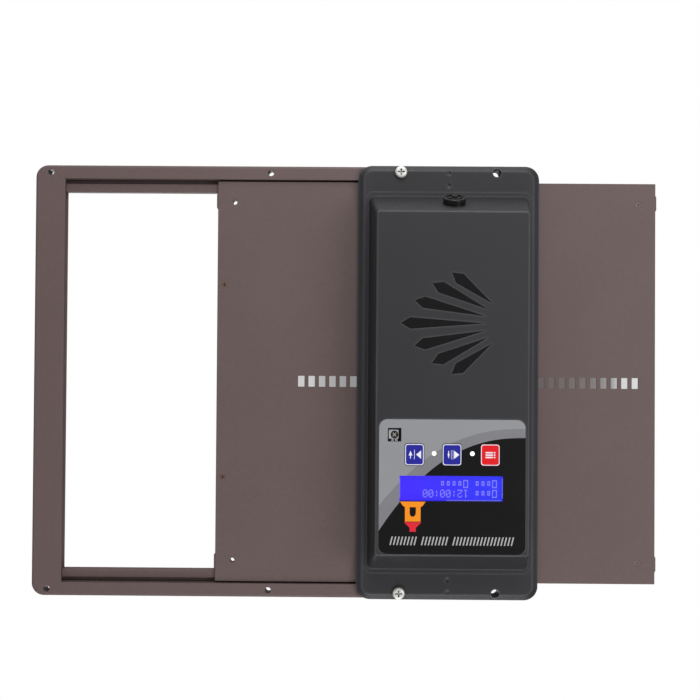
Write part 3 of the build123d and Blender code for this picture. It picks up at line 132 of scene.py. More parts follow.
class Shader:
    """A principled material with short ways to add its procedural nodes."""

    def __init__(self, name, color, roughness=0.5, metallic=0.0, **sockets):
        self.material = bpy.data.materials.new(name)
        self.material.use_nodes = True
        self.material.diffuse_color = color
        self.tree = self.material.node_tree
        self.principled = self.tree.nodes["Principled BSDF"]
        self.set("Base Color", color)
        self.set("Roughness", roughness)
        self.set("Metallic", metallic)
        for socket, value in sockets.items():
            self.set(socket.replace("_", " "), value)
        self.place = self.node("ShaderNodeTexCoord").outputs["Object"]
        self.normal = None
        self.edges = None

    def set(self, socket, value):
        """Sets one of the material's own sockets."""
        self.principled.inputs[socket].default_value = value

    def node(self, kind, **values):
        """New node with its settings."""
        made = self.tree.nodes.new(kind)
        for name, value in values.items():
            setattr(made, name, value)
        return made

    def link(self, source, target):
        """Joins an output to an input."""
        self.tree.links.new(source, target)

    def noise(self, size, detail=2.0, stretch=(1, 1, 1)):
        """Noise whose features are about size metres across, 0 to 1."""
        mapping = self.node("ShaderNodeMapping")
        mapping.inputs["Scale"].default_value = stretch
        self.link(self.place, mapping.inputs["Vector"])
        noise = self.node("ShaderNodeTexNoise")
        noise.inputs["Scale"].default_value = 1 / size
        noise.inputs["Detail"].default_value = detail
        self.link(mapping.outputs["Vector"], noise.inputs["Vector"])
        return noise.outputs["Fac"]

    def spread(self, source, low, high, start=0.3, end=0.7):
        """The source's range start..end mapped onto low..high."""
        mapped = self.node("ShaderNodeMapRange")
        mapped.inputs["From Min"].default_value = start
        mapped.inputs["From Max"].default_value = end
        mapped.inputs["To Min"].default_value = low
        mapped.inputs["To Max"].default_value = high
        self.link(source, mapped.inputs["Value"])
        return mapped.outputs["Result"]

    def times(self, one, other):
        """Product of two values."""
        product = self.node("ShaderNodeMath", operation="MULTIPLY")
        self.link(one, product.inputs[0])
        self.link(other, product.inputs[1])
        return product.outputs["Value"]

    def tint(self, factor, color):
        """Mixes a colour over the base colour by a factor."""
        mix = self.node("ShaderNodeMix", data_type="RGBA")
        base = self.principled.inputs["Base Color"]
        if base.is_linked:
            self.link(base.links[0].from_socket, mix.inputs["A"])
        else:
            mix.inputs["A"].default_value = base.default_value
        mix.inputs["B"].default_value = color
        self.link(factor, mix.inputs["Factor"])
        self.link(mix.outputs["Result"], base)

    def mottle(self, size, amount):
        """Uneven colour: lighter and darker patches of the base colour."""
        base = tuple(self.material.diffuse_color)
        noise = self.noise(size, 3.0)
        self.tint(self.spread(noise, 0.0, 1.0, 0.5, 0.75), scaled(base, 1 + amount))
        self.tint(self.spread(noise, 1.0, 0.0, 0.25, 0.5), scaled(base, 1 - amount))

    def rough(self, size, low, high, stretch=(1, 1, 1)):
        """Uneven roughness between low and high."""
        uneven = self.spread(self.noise(size, 3.0, stretch), low, high)
        self.link(uneven, self.principled.inputs["Roughness"])

    def bevel(self, radius):
        """Surface normal as if the edges were rounded to a radius."""
        bevel = self.node("ShaderNodeBevel", samples=EDGE_SAMPLES)
        bevel.inputs["Radius"].default_value = radius
        return bevel.outputs["Normal"]

    def soften(self, radius, edge_width=None):
        """Rounds the shading of edges over a radius, and finds them for the lighter edges.

        edge_width finds the edges of pieces that are already rounded in the CAD.
        """
        self.normal = self.bevel(radius)
        rounded = self.bevel(edge_width) if edge_width else self.normal
        flat = self.node("ShaderNodeNewGeometry").outputs["Normal"]
        dot = self.node("ShaderNodeVectorMath", operation="DOT_PRODUCT")
        self.link(rounded, dot.inputs[0])
        self.link(flat, dot.inputs[1])
        start, end = BLUNT_EDGE if edge_width else SHARP_EDGE
        self.edges = self.spread(dot.outputs["Value"], 0.0, 1.0, start, end)
        self.link(self.normal, self.principled.inputs["Normal"])

    def edge_wear_and_highlight(self, color, size, amount, least=0.0):
        """Lighter edges, broken up by noise between least and amount: worn paint on some finishes,
        a painted highlight on others.
        """
        broken = self.spread(self.noise(size, 4.0), least, amount, 0.45, 0.7)
        self.tint(self.times(self.edges, broken), color)

    def paint_recess_shade(self, reach, amount, end=0.8):
        """Painted shade: darker colour in corners and recesses narrower than reach."""
        hidden = self.node("ShaderNodeAmbientOcclusion", samples=EDGE_SAMPLES)
        hidden.inputs["Distance"].default_value = reach
        dark = self.spread(hidden.outputs["AO"], amount, 0.0, DEEP_RECESS, end)
        self.tint(dark, scaled(tuple(self.material.diffuse_color), PAINTED_SHADE_LEVEL))

    def bump(self, size, height, detail=2.0, stretch=(1, 1, 1)):
        """Fine relief of a given height in metres."""
        bump = self.node("ShaderNodeBump")
        bump.inputs["Strength"].default_value = 1.0
        bump.inputs["Distance"].default_value = height
        self.link(self.noise(size, detail, stretch), bump.inputs["Height"])
        if self.normal is not None:
            self.link(self.normal, bump.inputs["Normal"])
        self.normal = bump.outputs["Normal"]
        self.link(self.normal, self.principled.inputs["Normal"])


# ---- materials ----
def powder_coat(name, color):
    """Brown powder coat on sheet metal: fine orange peel, rubbed lighter at the folds."""
    shader = Shader(name, color, 0.5, Specular_IOR_Level=0.35)
    shader.soften(0.35 * MM)
    shader.mottle(0.9 * MM, 0.09)
    shader.mottle(2.4 * MM, 0.05)
    shader.mottle(38 * MM, 0.03)
    shader.edge_wear_and_highlight(scaled(color, 1.7), 6 * MM, 0.55)
    shader.rough(1.2 * MM, 0.44, 0.58)
    shader.bump(0.7 * MM, 0.035 * MM)
    return shader.material


def textured_plastic(name, color, roughness, grain):
    """Moulded plastic with a fine spark texture, a painted highlight along its edges and painted
    shade in its corners and recesses.
    """
    shader = Shader(name, color, roughness, Specular_IOR_Level=0.45)
    shader.soften(0.3 * MM, 1.6 * MM)
    shader.mottle(24 * MM, 0.06)
    shader.mottle(0.8 * MM, 0.05)
    # painted highlight: edges up to four times lighter than the plastic
    shader.edge_wear_and_highlight(scaled(color, 4.2), 30 * MM, 1.0, 0.75)
    # painted shade in corners and recesses
    shader.paint_recess_shade(2.5 * MM, 0.8, 0.93)
    shader.rough(1.4 * MM, roughness - 0.05, roughness + 0.07)
    shader.bump(0.5 * MM, grain)
    return shader.material


def gloss_plastic(name, color, roughness):
    """Smooth plastic or printed film with faint unevenness and rubbed patches."""
    shader = Shader(name, color, roughness)
    shader.soften(0.12 * MM)
    shader.mottle(14 * MM, 0.012)
    shader.rough(25 * MM, roughness * 0.95, roughness * 1.12)
    shader.bump(5 * MM, 0.003 * MM)
    return shader.material


def metal(name, color, roughness, size, stretch=(1, 1, 1), metallic=1.0, reach=1.6 * MM):
    """Plated or brushed metal: grain drawn out along one direction, bright edges.

    size is the grain's, and recesses narrower than reach get painted shade.
    """
    shader = Shader(name, color, roughness, metallic)
    shader.soften(0.2 * MM)
    shader.mottle(3 * MM, 0.08)
    shader.edge_wear_and_highlight(scaled(color, 1.2), 2 * MM, 0.7)
    # painted shade in recesses narrower than reach
    shader.paint_recess_shade(reach, 0.9)
    shader.rough(size, roughness * 0.75, roughness * 1.3, stretch)
    shader.bump(size, 0.012 * MM, 3.0, stretch)
    return shader.material


def rubber(name, color, roughness, size, height):
    """Rubber or foam: matt, slightly dusty skin."""
    shader = Shader(name, color, roughness, Specular_IOR_Level=0.4)
    shader.soften(0.25 * MM)
    shader.mottle(size * 6, 0.12)
    dust = shader.spread(shader.noise(5 * MM, 4.0), 0.0, 0.12, 0.55, 0.75)
    shader.tint(dust, DUST)
    shader.rough(size * 3, roughness - 0.08, roughness + 0.08)
    shader.bump(size, height)
    return shader.material


TRACK_SCALE = 160.0
TRACK_WIDTH = 0.05


def circuit_board(name, color):
    """Green solder mask with tracks as a faint grid of lighter lines."""
    shader = Shader(name, color, 0.32, Coat_Weight=0.2)
    shader.soften(0.15 * MM)
    tracks = shader.node("ShaderNodeTexBrick")
    tracks.inputs["Scale"].default_value = TRACK_SCALE
    tracks.inputs["Mortar Size"].default_value = TRACK_WIDTH
    turned = shader.node("ShaderNodeMapping")
    turned.inputs["Rotation"].default_value = (math.pi / 2, 0, 0)
    shader.link(shader.place, turned.inputs["Vector"])
    shader.link(turned.outputs["Vector"], tracks.inputs["Vector"])
    shader.tint(shader.spread(tracks.outputs["Fac"], 0.0, 0.5, 0.0, 1.0), scaled(color, 2.2))
    shader.mottle(9 * MM, 0.1)
    shader.rough(2 * MM, 0.26, 0.4)
    shader.bump(1.5 * MM, 0.02 * MM)
    return shader.material


def lit_screen(name, color, far_color, strength, span=None):
    """Back-lit display: its colour drifts from one end of span to the other, or unevenly."""
    shader = Shader(name, scaled(color, 0.35), 0.3)
    shader.set("Emission Strength", strength)
    glow = shader.node("ShaderNodeMix", data_type="RGBA")
    glow.inputs["A"].default_value = color
    glow.inputs["B"].default_value = far_color
    if span:
        split = shader.node("ShaderNodeSeparateXYZ")
        shader.link(shader.place, split.inputs["Vector"])
        drift = shader.spread(split.outputs["X"], 0.0, 1.0, *span)
    else:
        drift = shader.spread(shader.noise(4 * MM), 0.0, 1.0)
    shader.link(drift, glow.inputs["Factor"])
    shader.link(glow.outputs["Result"], shader.principled.inputs["Emission Color"])
    shader.bump(0.4 * MM, 0.004 * MM)
    return shader.material


def clear_plastic(name, color, alpha, roughness=0.05):
    """Thin clear window: alpha is how much it hides; fine surface waviness."""
    shader = Shader(name, color, roughness, Alpha=alpha, IOR=1.49)
    shader.rough(4 * MM, roughness, roughness * 1.8)
    shader.bump(6 * MM, 0.003 * MM)
    return shader.material


def glowing(name, color, strength):
    """Diffusing lamp body, lit from inside."""
    shader = Shader(name, color, 0.35)
    shader.set("Emission Color", color)
    shader.set("Emission Strength", strength)
    shader.mottle(0.8 * MM, 0.05)
    shader.bump(0.5 * MM, 0.01 * MM)
    return shader.material


DUST = linear(120, 118, 114)
BROWN = linear(99, 83, 82)
DOOR_BROWN = linear(98, 83, 81)
BLACK_PLASTIC = linear(37, 37, 40)
PRINT_BLACK = linear(14, 14, 14)
PRINT_GREY = linear(144, 145, 148)
PRINT_BAND = linear(125, 125, 130)
PRINT_SILVER = linear(176, 176, 176)
PRINT_WHITE = linear(236, 236, 244)
ORANGE = linear(247, 145, 24)
RED = linear(222, 36, 52)
KEY_BLUE = linear(36, 38, 150)
KEY_RED = linear(226, 24, 33)
SCREEN_BLUE = (0.020, 0.033, 0.92, 1.0)
SCREEN_VIOLET = (0.060, 0.012, 1.0, 1.0)
SCREEN_DOTS = (0.25, 0.25, 0.86, 1.0)
SCREEN_EDGE = (0.22, 0.21, 0.92, 1.0)
ZINC = linear(196, 198, 196)
TERMINAL_RED = linear(150, 34, 26)

SCREEN_SPAN = (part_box("screen_glass")[0].x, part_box("screen_glass")[1].x)

finish = {
    "bronze_paint": powder_coat("bronze_paint", BROWN),
    "door_paint": powder_coat("door_paint", DOOR_BROWN),
    "brown_screw": metal("brown_screw", linear(104, 80, 73), 0.5, 0.8 * MM, metallic=0.2),
    "shoe_plastic": textured_plastic("shoe_plastic", linear(84, 70, 66), 0.5, 0.02 * MM),
    # the spacers inside the frame's holes get painted shade from recesses up to 12 mm across
    "zinc_steel": metal("zinc_steel", ZINC, 0.34, 0.9 * MM, reach=12 * MM),
    "bright_screw": metal("bright_screw", linear(240, 240, 234), 0.34, 0.8 * MM, metallic=0.35),
    "black_abs": textured_plastic("black_abs", BLACK_PLASTIC, 0.5, 0.03 * MM),
    "black_sheet": textured_plastic("black_sheet", linear(40, 40, 41), 0.6, 0.03 * MM),
    "seal_rubber": rubber("seal_rubber", linear(34, 34, 35), 0.85, 0.5 * MM, 0.06 * MM),
    "gloss_black": gloss_plastic("gloss_black", linear(19, 19, 20), 0.16),
    "clear_window": clear_plastic("clear_window", (0.05, 0.05, 0.06, 1.0), 0.08),
    "screen_blue": lit_screen("screen_blue", SCREEN_BLUE, SCREEN_VIOLET, 0.95, SCREEN_SPAN),
    "black_metal": metal("black_metal", linear(46, 46, 47), 0.45, 0.9 * MM),
    "green_board": circuit_board("green_board", linear(22, 92, 48)),
    "chip_black": textured_plastic("chip_black", linear(38, 38, 39), 0.55, 0.015 * MM),
    "key_blue": gloss_plastic("key_blue", KEY_BLUE, 0.24),
    "key_red": gloss_plastic("key_red", KEY_RED, 0.24),
    "led_white": glowing("led_white", (1.0, 1.0, 0.97, 1.0), 0.8),
    "sensor_black": clear_plastic("sensor_black", (0.02, 0.02, 0.02, 1.0), 0.15),
    "sensor_pale": gloss_plastic("sensor_pale", linear(226, 220, 206), 0.3),
    "bush_brass": metal("bush_brass", linear(190, 148, 84), 0.4, 0.7 * MM),
    "gear_plastic": textured_plastic("gear_plastic", linear(222, 218, 206), 0.42, 0.01 * MM),
    "gear_brass": metal("gear_brass", linear(204, 164, 92), 0.28, 0.6 * MM),
    "motor_steel": metal("motor_steel", linear(184, 186, 188), 0.33, 1.2 * MM, (1, 1, 12)),
    "terminal_plastic": textured_plastic("terminal_plastic", TERMINAL_RED, 0.45, 0.01 * MM),
    "cap_rubber": rubber("cap_rubber", linear(27, 27, 28), 0.28, 0.4 * MM, 0.005 * MM),
    "print_black": gloss_plastic("print_black", PRINT_BLACK, 0.2),
    "print_grey": gloss_plastic("print_grey", PRINT_GREY, 0.3),
    "print_band": gloss_plastic("print_band", PRINT_BAND, 0.3),
    "print_silver": gloss_plastic("print_silver", PRINT_SILVER, 0.3),
    "print_white": gloss_plastic("print_white", PRINT_WHITE, 0.3),
    "print_orange": gloss_plastic("print_orange", ORANGE, 0.3),
    "print_red": gloss_plastic("print_red", RED, 0.3),
    "screen_edge": lit_screen("screen_edge", SCREEN_EDGE, scaled(SCREEN_EDGE, 0.7), 0.9),
    "screen_dots": lit_screen("screen_dots", SCREEN_DOTS, scaled(SCREEN_DOTS, 1.1), 0.9),
    "sensor_track": gloss_plastic("sensor_track", linear(40, 32, 32), 0.4),
}


def paint_nodes():
    """Gives each CAD node its slot's material; the label film's pieces bring their own."""
    for part in frame["record"]["subparts"]:
        slot_finish = finish.get(part["material_slot"])
        if slot_finish:
            materials = frame["nodes"][part["node"]].data.materials
            materials.clear()
            materials.append(slot_finish)


paint_nodes()


# ---- flat shapes, in metres: X and Z in the part's frame, seen along +Y ----
SAME_POINT = 1e-8
PRINT_SUNK = 0.04 * MM  # how deep printed shapes reach into what they are printed on
PRINT_PROUD = 0.02 * MM


def rectangle(x, z, width, height, corner=0.0, steps=6):
    """Outline of a rectangle, with round corners if corner isn't 0."""
    if corner == 0:
        left, right = x - width / 2, x + width / 2
        bottom, top = z - height / 2, z + height / 2
        return [(left, bottom), (right, bottom), (right, top), (left, top)]
    points = []
    for quarter, (sx, sz) in enumerate(((1, 1), (-1, 1), (-1, -1), (1, -1))):
        center_x = x + sx * (width / 2 - corner)
        center_z = z + sz * (height / 2 - corner)
        for step in range(steps + 1):
            angle = (quarter + step / steps) * math.pi / 2
            point_x = center_x + corner * math.cos(angle)
            points.append((point_x, center_z + corner * math.sin(angle)))
    return points


def circle(x, z, radius, steps=32):
    """Outline of a circle."""
    angles = [step * math.tau / steps for step in range(steps)]
    return [(x + radius * math.cos(angle), z + radius * math.sin(angle)) for angle in angles]


def contains(outline, x, z):
    """True if a point lies inside an outline."""
    inside = False
    for (x0, z0), (x1, z1) in zip(outline, outline[1:] + outline[:1]):
        if (z0 > z) != (z1 > z) and x < x0 + (z - z0) / (z1 - z0) * (x1 - x0):
            inside = not inside
    return inside


def cut_up(outlines, lines):
    """Points and triangles of a flat area, split along closed outlines and open lines."""
    points, edges = [], []
    for chain, closed in [(o, True) for o in outlines] + [(line, False) for line in lines]:
        first = len(points)
        points.extend(Vector(p) for p in chain)
        count = len(chain)
        joins = count if closed else count - 1
        edges.extend((first + i, first + (i + 1) % count) for i in range(joins))
    flat_points, _, triangles = delaunay_2d_cdt(points, edges, [], 0, SAME_POINT)[:3]
    return flat_points, triangles


def rim(triangles):
    """Sides that belong to one triangle only."""
    sides = {}
    for triangle in triangles:
        for a, b in zip(triangle, triangle[1:] + triangle[:1]):
            if not sides.pop((b, a), False):
                sides[(a, b)] = True
    return list(sides)


def plates(name, outlines, back, front, material, keep=None, lines=()):
    """Closed flat plates between two distances from the wall.

    An outline inside another one cuts it. keep(x, z) can drop areas, and lines are open
    polylines that the areas are split along.
    """
    points, triangles = cut_up(outlines, lines)
    kept = []
    for triangle in triangles:
        x = sum(points[i].x for i in triangle) / len(triangle)
        z = sum(points[i].y for i in triangle) / len(triangle)
        if sum(contains(o, x, z) for o in outlines) % 2 and (keep is None or keep(x, z)):
            kept.append(tuple(triangle))
    count = len(points)
    vertices = [(p.x, -front, p.y) for p in points] + [(p.x, -back, p.y) for p in points]
    faces = kept + [tuple(i + count for i in reversed(t)) for t in kept]
    faces += [(a, a + count, b + count, b) for a, b in rim(kept)]
    mesh = bpy.data.meshes.new(name)
    mesh.from_pydata(vertices, [], faces)
    mesh.materials.append(material)
    clean(mesh)
    piece = bpy.data.objects.new(name, mesh)
    bpy.context.scene.collection.objects.link(piece)
    return piece


def clean(mesh):
    """Drops loose points and turns all faces outwards."""
    work = bmesh.new()
    work.from_mesh(mesh)
    bmesh.ops.delete(work, geom=[v for v in work.verts if not v.link_faces], context="VERTS")
    bmesh.ops.recalc_face_normals(work, faces=work.faces)
    work.to_mesh(mesh)
    work.free()


def printed(name, outlines, surface, ink):
    """Thin shapes printed on a surface that faces the front."""
    return plates(name, outlines, surface - PRINT_SUNK, surface + PRINT_PROUD, finish[ink])


def ride_with(piece, body, replaced=()):
    """Fixes a piece to a body and hides the CAD nodes that it stands for."""
    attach(piece, body)
    for node in replaced:
        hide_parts(node)


def shifted(outline, x, z):
    """The outline moved to another place."""
    return [(px + x, pz + z) for px, pz in outline]


def in_place(outline, x, z):
    """An outline drawn in millimetres about its own origin, put at a place."""
    return [(px * MM + x, pz * MM + z) for px, pz in outline]


# ---- printed label ----
label_low, label_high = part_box("face_label")
LABEL_X = (label_low.x + label_high.x) / 2
LABEL_Z = (label_low.z + label_high.z) / 2
LABEL_WIDTH = label_high.x - label_low.x
LABEL_HEIGHT = label_high.z - label_low.z
LABEL_FRONT = -label_low.y
LABEL_BACK = -label_high.y

LABEL_CORNER = 5.1 * MM
WINDOW_GAP = 0.1 * MM
KEY_FLANGE_X = 1.5 * MM  # hidden flange round each key cap
KEY_FLANGE_Z = 0.8 * MM
KEY_CORNER = 1.6 * MM
KEY_GAP = 0.3 * MM
KEYS = {"open": "key_open", "close": "key_close", "menu": "key_menu"}
LIGHT_HOLE = 1.4 * MM  # radii
LIGHT_BODY = 2.0 * MM


def key_box(name):
    """Centre, width and height of a key cap."""
    low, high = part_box(KEYS[name])
    width = high.x - low.x - 2 * KEY_FLANGE_X
    height = high.z - low.z - 2 * KEY_FLANGE_Z
    return (low.x + high.x) / 2, (low.z + high.z) / 2, width, height


def window_outline(node, margin):
    """Outline of a rectangular window piece, grown by a margin."""
    low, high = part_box(node)
    width = high.x - low.x + 2 * margin
    height = high.z - low.z + 2 * margin
    return rectangle((low.x + high.x) / 2, (low.z + high.z) / 2, width, height)


def label_outlines():
    """The label's edge and every cut-out in it."""
    outlines = [rectangle(LABEL_X, LABEL_Z, LABEL_WIDTH, LABEL_HEIGHT, LABEL_CORNER, 10)]
    outlines.append(window_outline("screen_window", WINDOW_GAP))
    outlines.append(window_outline("sensor_window", WINDOW_GAP))
    for name in KEYS:
        x, z, width, height = key_box(name)
        corner = KEY_CORNER + KEY_GAP
        outlines.append(rectangle(x, z, width + 2 * KEY_GAP, height + 2 * KEY_GAP, corner))
    lights_low, lights_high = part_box("status_lights")
    lights_z = (lights_low.z + lights_high.z) / 2
    outlines.append(circle(lights_low.x + LIGHT_BODY, lights_z, LIGHT_HOLE))
    outlines.append(circle(lights_high.x - LIGHT_BODY, lights_z, LIGHT_HOLE))
    return outlines


SWOOSH_POWER = 2.4
SWOOSH_REACH = 1.2  # how far past the label's far edge the curves still rise, in label widths
BLACK_START, BLACK_END = 0.133, 0.829  # where the curves cross the label's side edges
BAND_START, BAND_END = 0.065, 0.643


def swoosh(x, start, end):
    """Height of a rising curve over the label, from its left edge to its right edge."""
    along = min(SWOOSH_REACH, max(0.0, (x - label_low.x) / LABEL_WIDTH))
    return label_low.z + LABEL_HEIGHT * (start + (end - start) * along**SWOOSH_POWER)


def black_edge(x):
    """Lower edge of the black area."""
    return swoosh(x, BLACK_START, BLACK_END)


def band_edge(x):
    """Lower edge of the darker grey band under the black area."""
    return swoosh(x, BAND_START, BAND_END)


def edge_line(edge, steps=60):
    """The edge as a polyline that runs past both sides of the label."""
    start = label_low.x - MM
    span = LABEL_WIDTH + 2 * MM
    return [(start + span * i / steps, edge(start + span * i / steps)) for i in range(steps + 1)]


def make_label():
    """The label film in its three printed colours."""
    outlines = label_outlines()
    lines = [edge_line(black_edge), edge_line(band_edge)]
    areas = {
        "label_black": ("print_black", lambda x, z: z > black_edge(x)),
        "label_band": ("print_band", lambda x, z: band_edge(x) < z <= black_edge(x)),
        "label_grey": ("print_grey", lambda x, z: z <= band_edge(x)),
    }
    for name, (ink, keep) in areas.items():
        area = plates(name, outlines, LABEL_BACK, LABEL_FRONT, finish[ink], keep, lines)
        ride_with(area, FIXED, ["face_label"])


def print_on_label(name, outlines, ink):
    """Shapes printed on the label."""
    ride_with(printed(name, outlines, LABEL_FRONT, ink), FIXED)


DASH_WIDTH = 0.85 * MM
DASH_HEIGHT = 5.2 * MM
DASH_LEAN = 1.3 * MM
DASH_STEP = 2.1 * MM
DASH_GROUPS = (18, 8, 8)
DASH_GROUP_GAP = 2.4 * MM
DASH_ROW = 76.0 * MM
DASH_SHIFT = 1.0 * MM  # of the row's middle from the label's centre
DASH_RISE = 33.1 * MM  # from the label's centre to the row's centre


def make_dashes():
    """Row of slanted silver dashes in three groups along the top of the label."""
    half_w, half_h = DASH_WIDTH / 2, DASH_HEIGHT / 2
    dash = [
        (-half_w - DASH_LEAN / 2, -half_h),
        (half_w - DASH_LEAN / 2, -half_h),
        (half_w + DASH_LEAN / 2, half_h),
        (-half_w + DASH_LEAN / 2, half_h),
    ]
    row = []
    x = LABEL_X + DASH_SHIFT - DASH_ROW / 2
    for count in DASH_GROUPS:
        for _ in range(count):
            row.append(shifted(dash, x, LABEL_Z + DASH_RISE))
            x += DASH_STEP
        x += DASH_GROUP_GAP
    print_on_label("label_dashes", row, "print_silver")


PICTOGRAM_SHIFT = 24 * MM  # from the label's centre
PICTOGRAM_GAP = 0.3 * MM  # above the screen's window


def make_pictogram():
    """Small picture of a hen house above the screen: ramp, hut with a doorway, red roof."""
    x = LABEL_X + PICTOGRAM_SHIFT
    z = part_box("screen_window")[1].z + PICTOGRAM_GAP
    # outlines in millimetres from the middle of the ramp's foot
    hut = [(-7.8, 0), (7.8, 0), (6.2, 2.4), (4.8, 3.4), (4.8, 12.2)]
    hut += [(-side, height) for side, height in reversed(hut[2:])]
    doorway = [(-1.9, 3.4), (1.9, 3.4), (1.9, 7.4), (1.2, 8.8), (0, 9.3), (-1.2, 8.8), (-1.9, 7.4)]
    roof = [(-5.4, 12.6), (5.4, 12.6), (1.9, 16.0), (1.9, 18.4), (-1.9, 18.4), (-1.9, 16.0)]
    print_on_label("pictogram_hut", [in_place(hut, x, z), in_place(doorway, x, z)], "print_orange")
    print_on_label("pictogram_roof", [in_place(roof, x, z)], "print_red")


# ---- key prints ----
RING_WIDTH = 0.45 * MM
RING_MARGIN = 0.08 * MM


def arrow(x, up, spread=1.15):
    """Small arrow icon, pointing up or down, as one outline in millimetres."""
    tip, neck, tail = 2.4 * up, -0.6 * up, -2.4 * up
    left, right = x - 0.25, x + 0.25
    head = [(x, tip), (x - spread, neck), (left, neck)]
    return head + [(left, tail), (right, tail), (right, neck), (x + spread, neck)]


MENU_ROWS = (-1.45, 0.0, 1.45)
ICONS = {  # outlines in millimetres from the key's centre
    "open": [
        [(-4.1, -2.6), (-1.0, 0), (-4.1, 2.6)],
        rectangle(0, 0, 0.3, 5.8),
        arrow(2.4, -1),
    ],
    "close": [
        [(-1.2, -2.6), (-1.2, 2.6), (-4.5, 0)],
        rectangle(-0.6, 0, 0.22, 5.6),
        rectangle(0.4, 0, 0.22, 5.6),
        arrow(2.1, 1, 0.7),
    ],
    "menu": [rectangle(0.65, z, 4.5, 0.85) for z in MENU_ROWS]
    + [rectangle(-2.6, z, 0.9, 0.85) for z in MENU_ROWS],
}


def make_key_print(name):
    """White ring and icons on a key cap; they move with the key."""
    x, z, width, height = key_box(name)
    front = -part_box(KEYS[name])[0].y
    outer = rectangle(x, z, width - 2 * RING_MARGIN, height - 2 * RING_MARGIN, KEY_CORNER)
    inset = 2 * (RING_MARGIN + RING_WIDTH)
    inner = rectangle(x, z, width - inset, height - inset, KEY_CORNER - RING_WIDTH / 2)
    icons = [in_place(icon, x, z) for icon in ICONS[name]]
    shapes = printed(KEYS[name] + "_print", [outer, inner] + icons, front, "print_white")
    ride_with(shapes, name + "_key")


# ---- screen ----
screen_low, screen_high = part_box("screen_window")
SCREEN_X = (screen_low.x + screen_high.x) / 2
SCREEN_Z = (screen_low.z + screen_high.z) / 2
SCREEN_FRONT = -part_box("screen_glass")[0].y

CELL_PITCH_X = 3.55 * MM
CELL_PITCH_Z = 5.95 * MM
DOT_PITCH_X = 0.6 * MM
DOT_PITCH_Z = 0.7 * MM
DOT_GAP = 0.08 * MM
DOT_OFFSET = 0.8  # of the first dot from its cell's corner, in dots
CELLS_IN_ROW = 16
GLOW_STRIP = 0.45 * MM
GLOW_SIDE = 0.8  # part of the window's height
GLOW_TOP = 34 * MM
GLOW_SHIFT = -14 * MM  # of the top strip from the window's centre

GLYPHS = {  # rows of dots from the top
    "0": ("01110", "10001", "10011", "10101", "11001", "10001", "01110"),
    "1": ("00100", "01100", "00100", "00100", "00100", "00100", "01110"),
    "2": ("01110", "10001", "00001", "00110", "01000", "10000", "11111"),
    ":": ("00000", "00100", "00100", "00000", "00100", "00100", "00000"),
    "o": ("00000", "00000", "01110", "01010", "01010", "01110", "00000"),
    "=": ("11111", "10001", "10001", "10001", "10001", "10001", "11111"),
    " ": (),
}
SCREEN_ROWS = ("=ooo 12:00:00", "=ooo =oooo")


def make_screen_glow():
    """Paler strips along the display's sides and part of its top."""
    inset = GLOW_STRIP / 2
    side = (screen_high.z - screen_low.z) * GLOW_SIDE
    glow = [
        rectangle(screen_high.x - inset, SCREEN_Z, GLOW_STRIP, side),
        rectangle(screen_low.x + inset, SCREEN_Z, GLOW_STRIP, side),
        rectangle(SCREEN_X + GLOW_SHIFT, screen_high.z - inset, GLOW_TOP, GLOW_STRIP),
    ]
    strips = printed("screen_edge_glow", glow, SCREEN_FRONT, "screen_edge")
    ride_with(strips, FIXED)


def make_characters():
    """Lit dots of the character display: digits and plain marks."""
    left = SCREEN_X - CELL_PITCH_X * CELLS_IN_ROW / 2
    top = SCREEN_Z + CELL_PITCH_Z
    dots = []
    for row, text in enumerate(SCREEN_ROWS):
        for cell, mark in enumerate(text):
            for line, pattern in enumerate(GLYPHS[mark]):
                for column, lit in enumerate(pattern):
                    if lit == "1":
                        x = left + cell * CELL_PITCH_X + (column + DOT_OFFSET) * DOT_PITCH_X
                        z = top - row * CELL_PITCH_Z - (line + DOT_OFFSET) * DOT_PITCH_Z
                        dots.append(rectangle(x, z, DOT_PITCH_X - DOT_GAP, DOT_PITCH_Z - DOT_GAP))
    shapes = printed("screen_characters", dots, SCREEN_FRONT, "screen_dots")
    ride_with(shapes, FIXED)


# ---- light sensor ----
# outlines in millimetres from the sensor's centre
COLLAR = rectangle(0.5, -0.2, 6.0, 5.6, 0.5)
COLLAR_FEET = [rectangle(side * 1.1, 3.35, 1.5, 1.2) for side in (-1, 1)]
COLLAR_SUNK = 0.4 * MM
COLLAR_PROUD = 0.3 * MM
COLLAR_BORE = 0.98  # parts of the sensor's radius
FACE_RADIUS = 0.94
CROSS_REACH = 0.5
CROSS_LINE = 0.42 * MM

sensor_low, sensor_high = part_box("light_sensor")
SENSOR_X = (sensor_low.x + sensor_high.x) / 2
SENSOR_Z = (sensor_low.z + sensor_high.z) / 2
SENSOR_RADIUS = (sensor_high.x - sensor_low.x) / 2
SENSOR_FRONT = -sensor_low.y


def make_sensor_collar():
    """Pale collar with two feet round the light cell."""
    bore = circle(SENSOR_X, SENSOR_Z, SENSOR_RADIUS * COLLAR_BORE)
    outlines = [in_place(COLLAR, SENSOR_X, SENSOR_Z), bore]
    outlines += [in_place(foot, SENSOR_X, SENSOR_Z) for foot in COLLAR_FEET]
    back, front = SENSOR_FRONT - COLLAR_SUNK, SENSOR_FRONT + COLLAR_PROUD
    collar = plates("sensor_collar", outlines, back, front, finish["print_white"])
    ride_with(collar, FIXED)


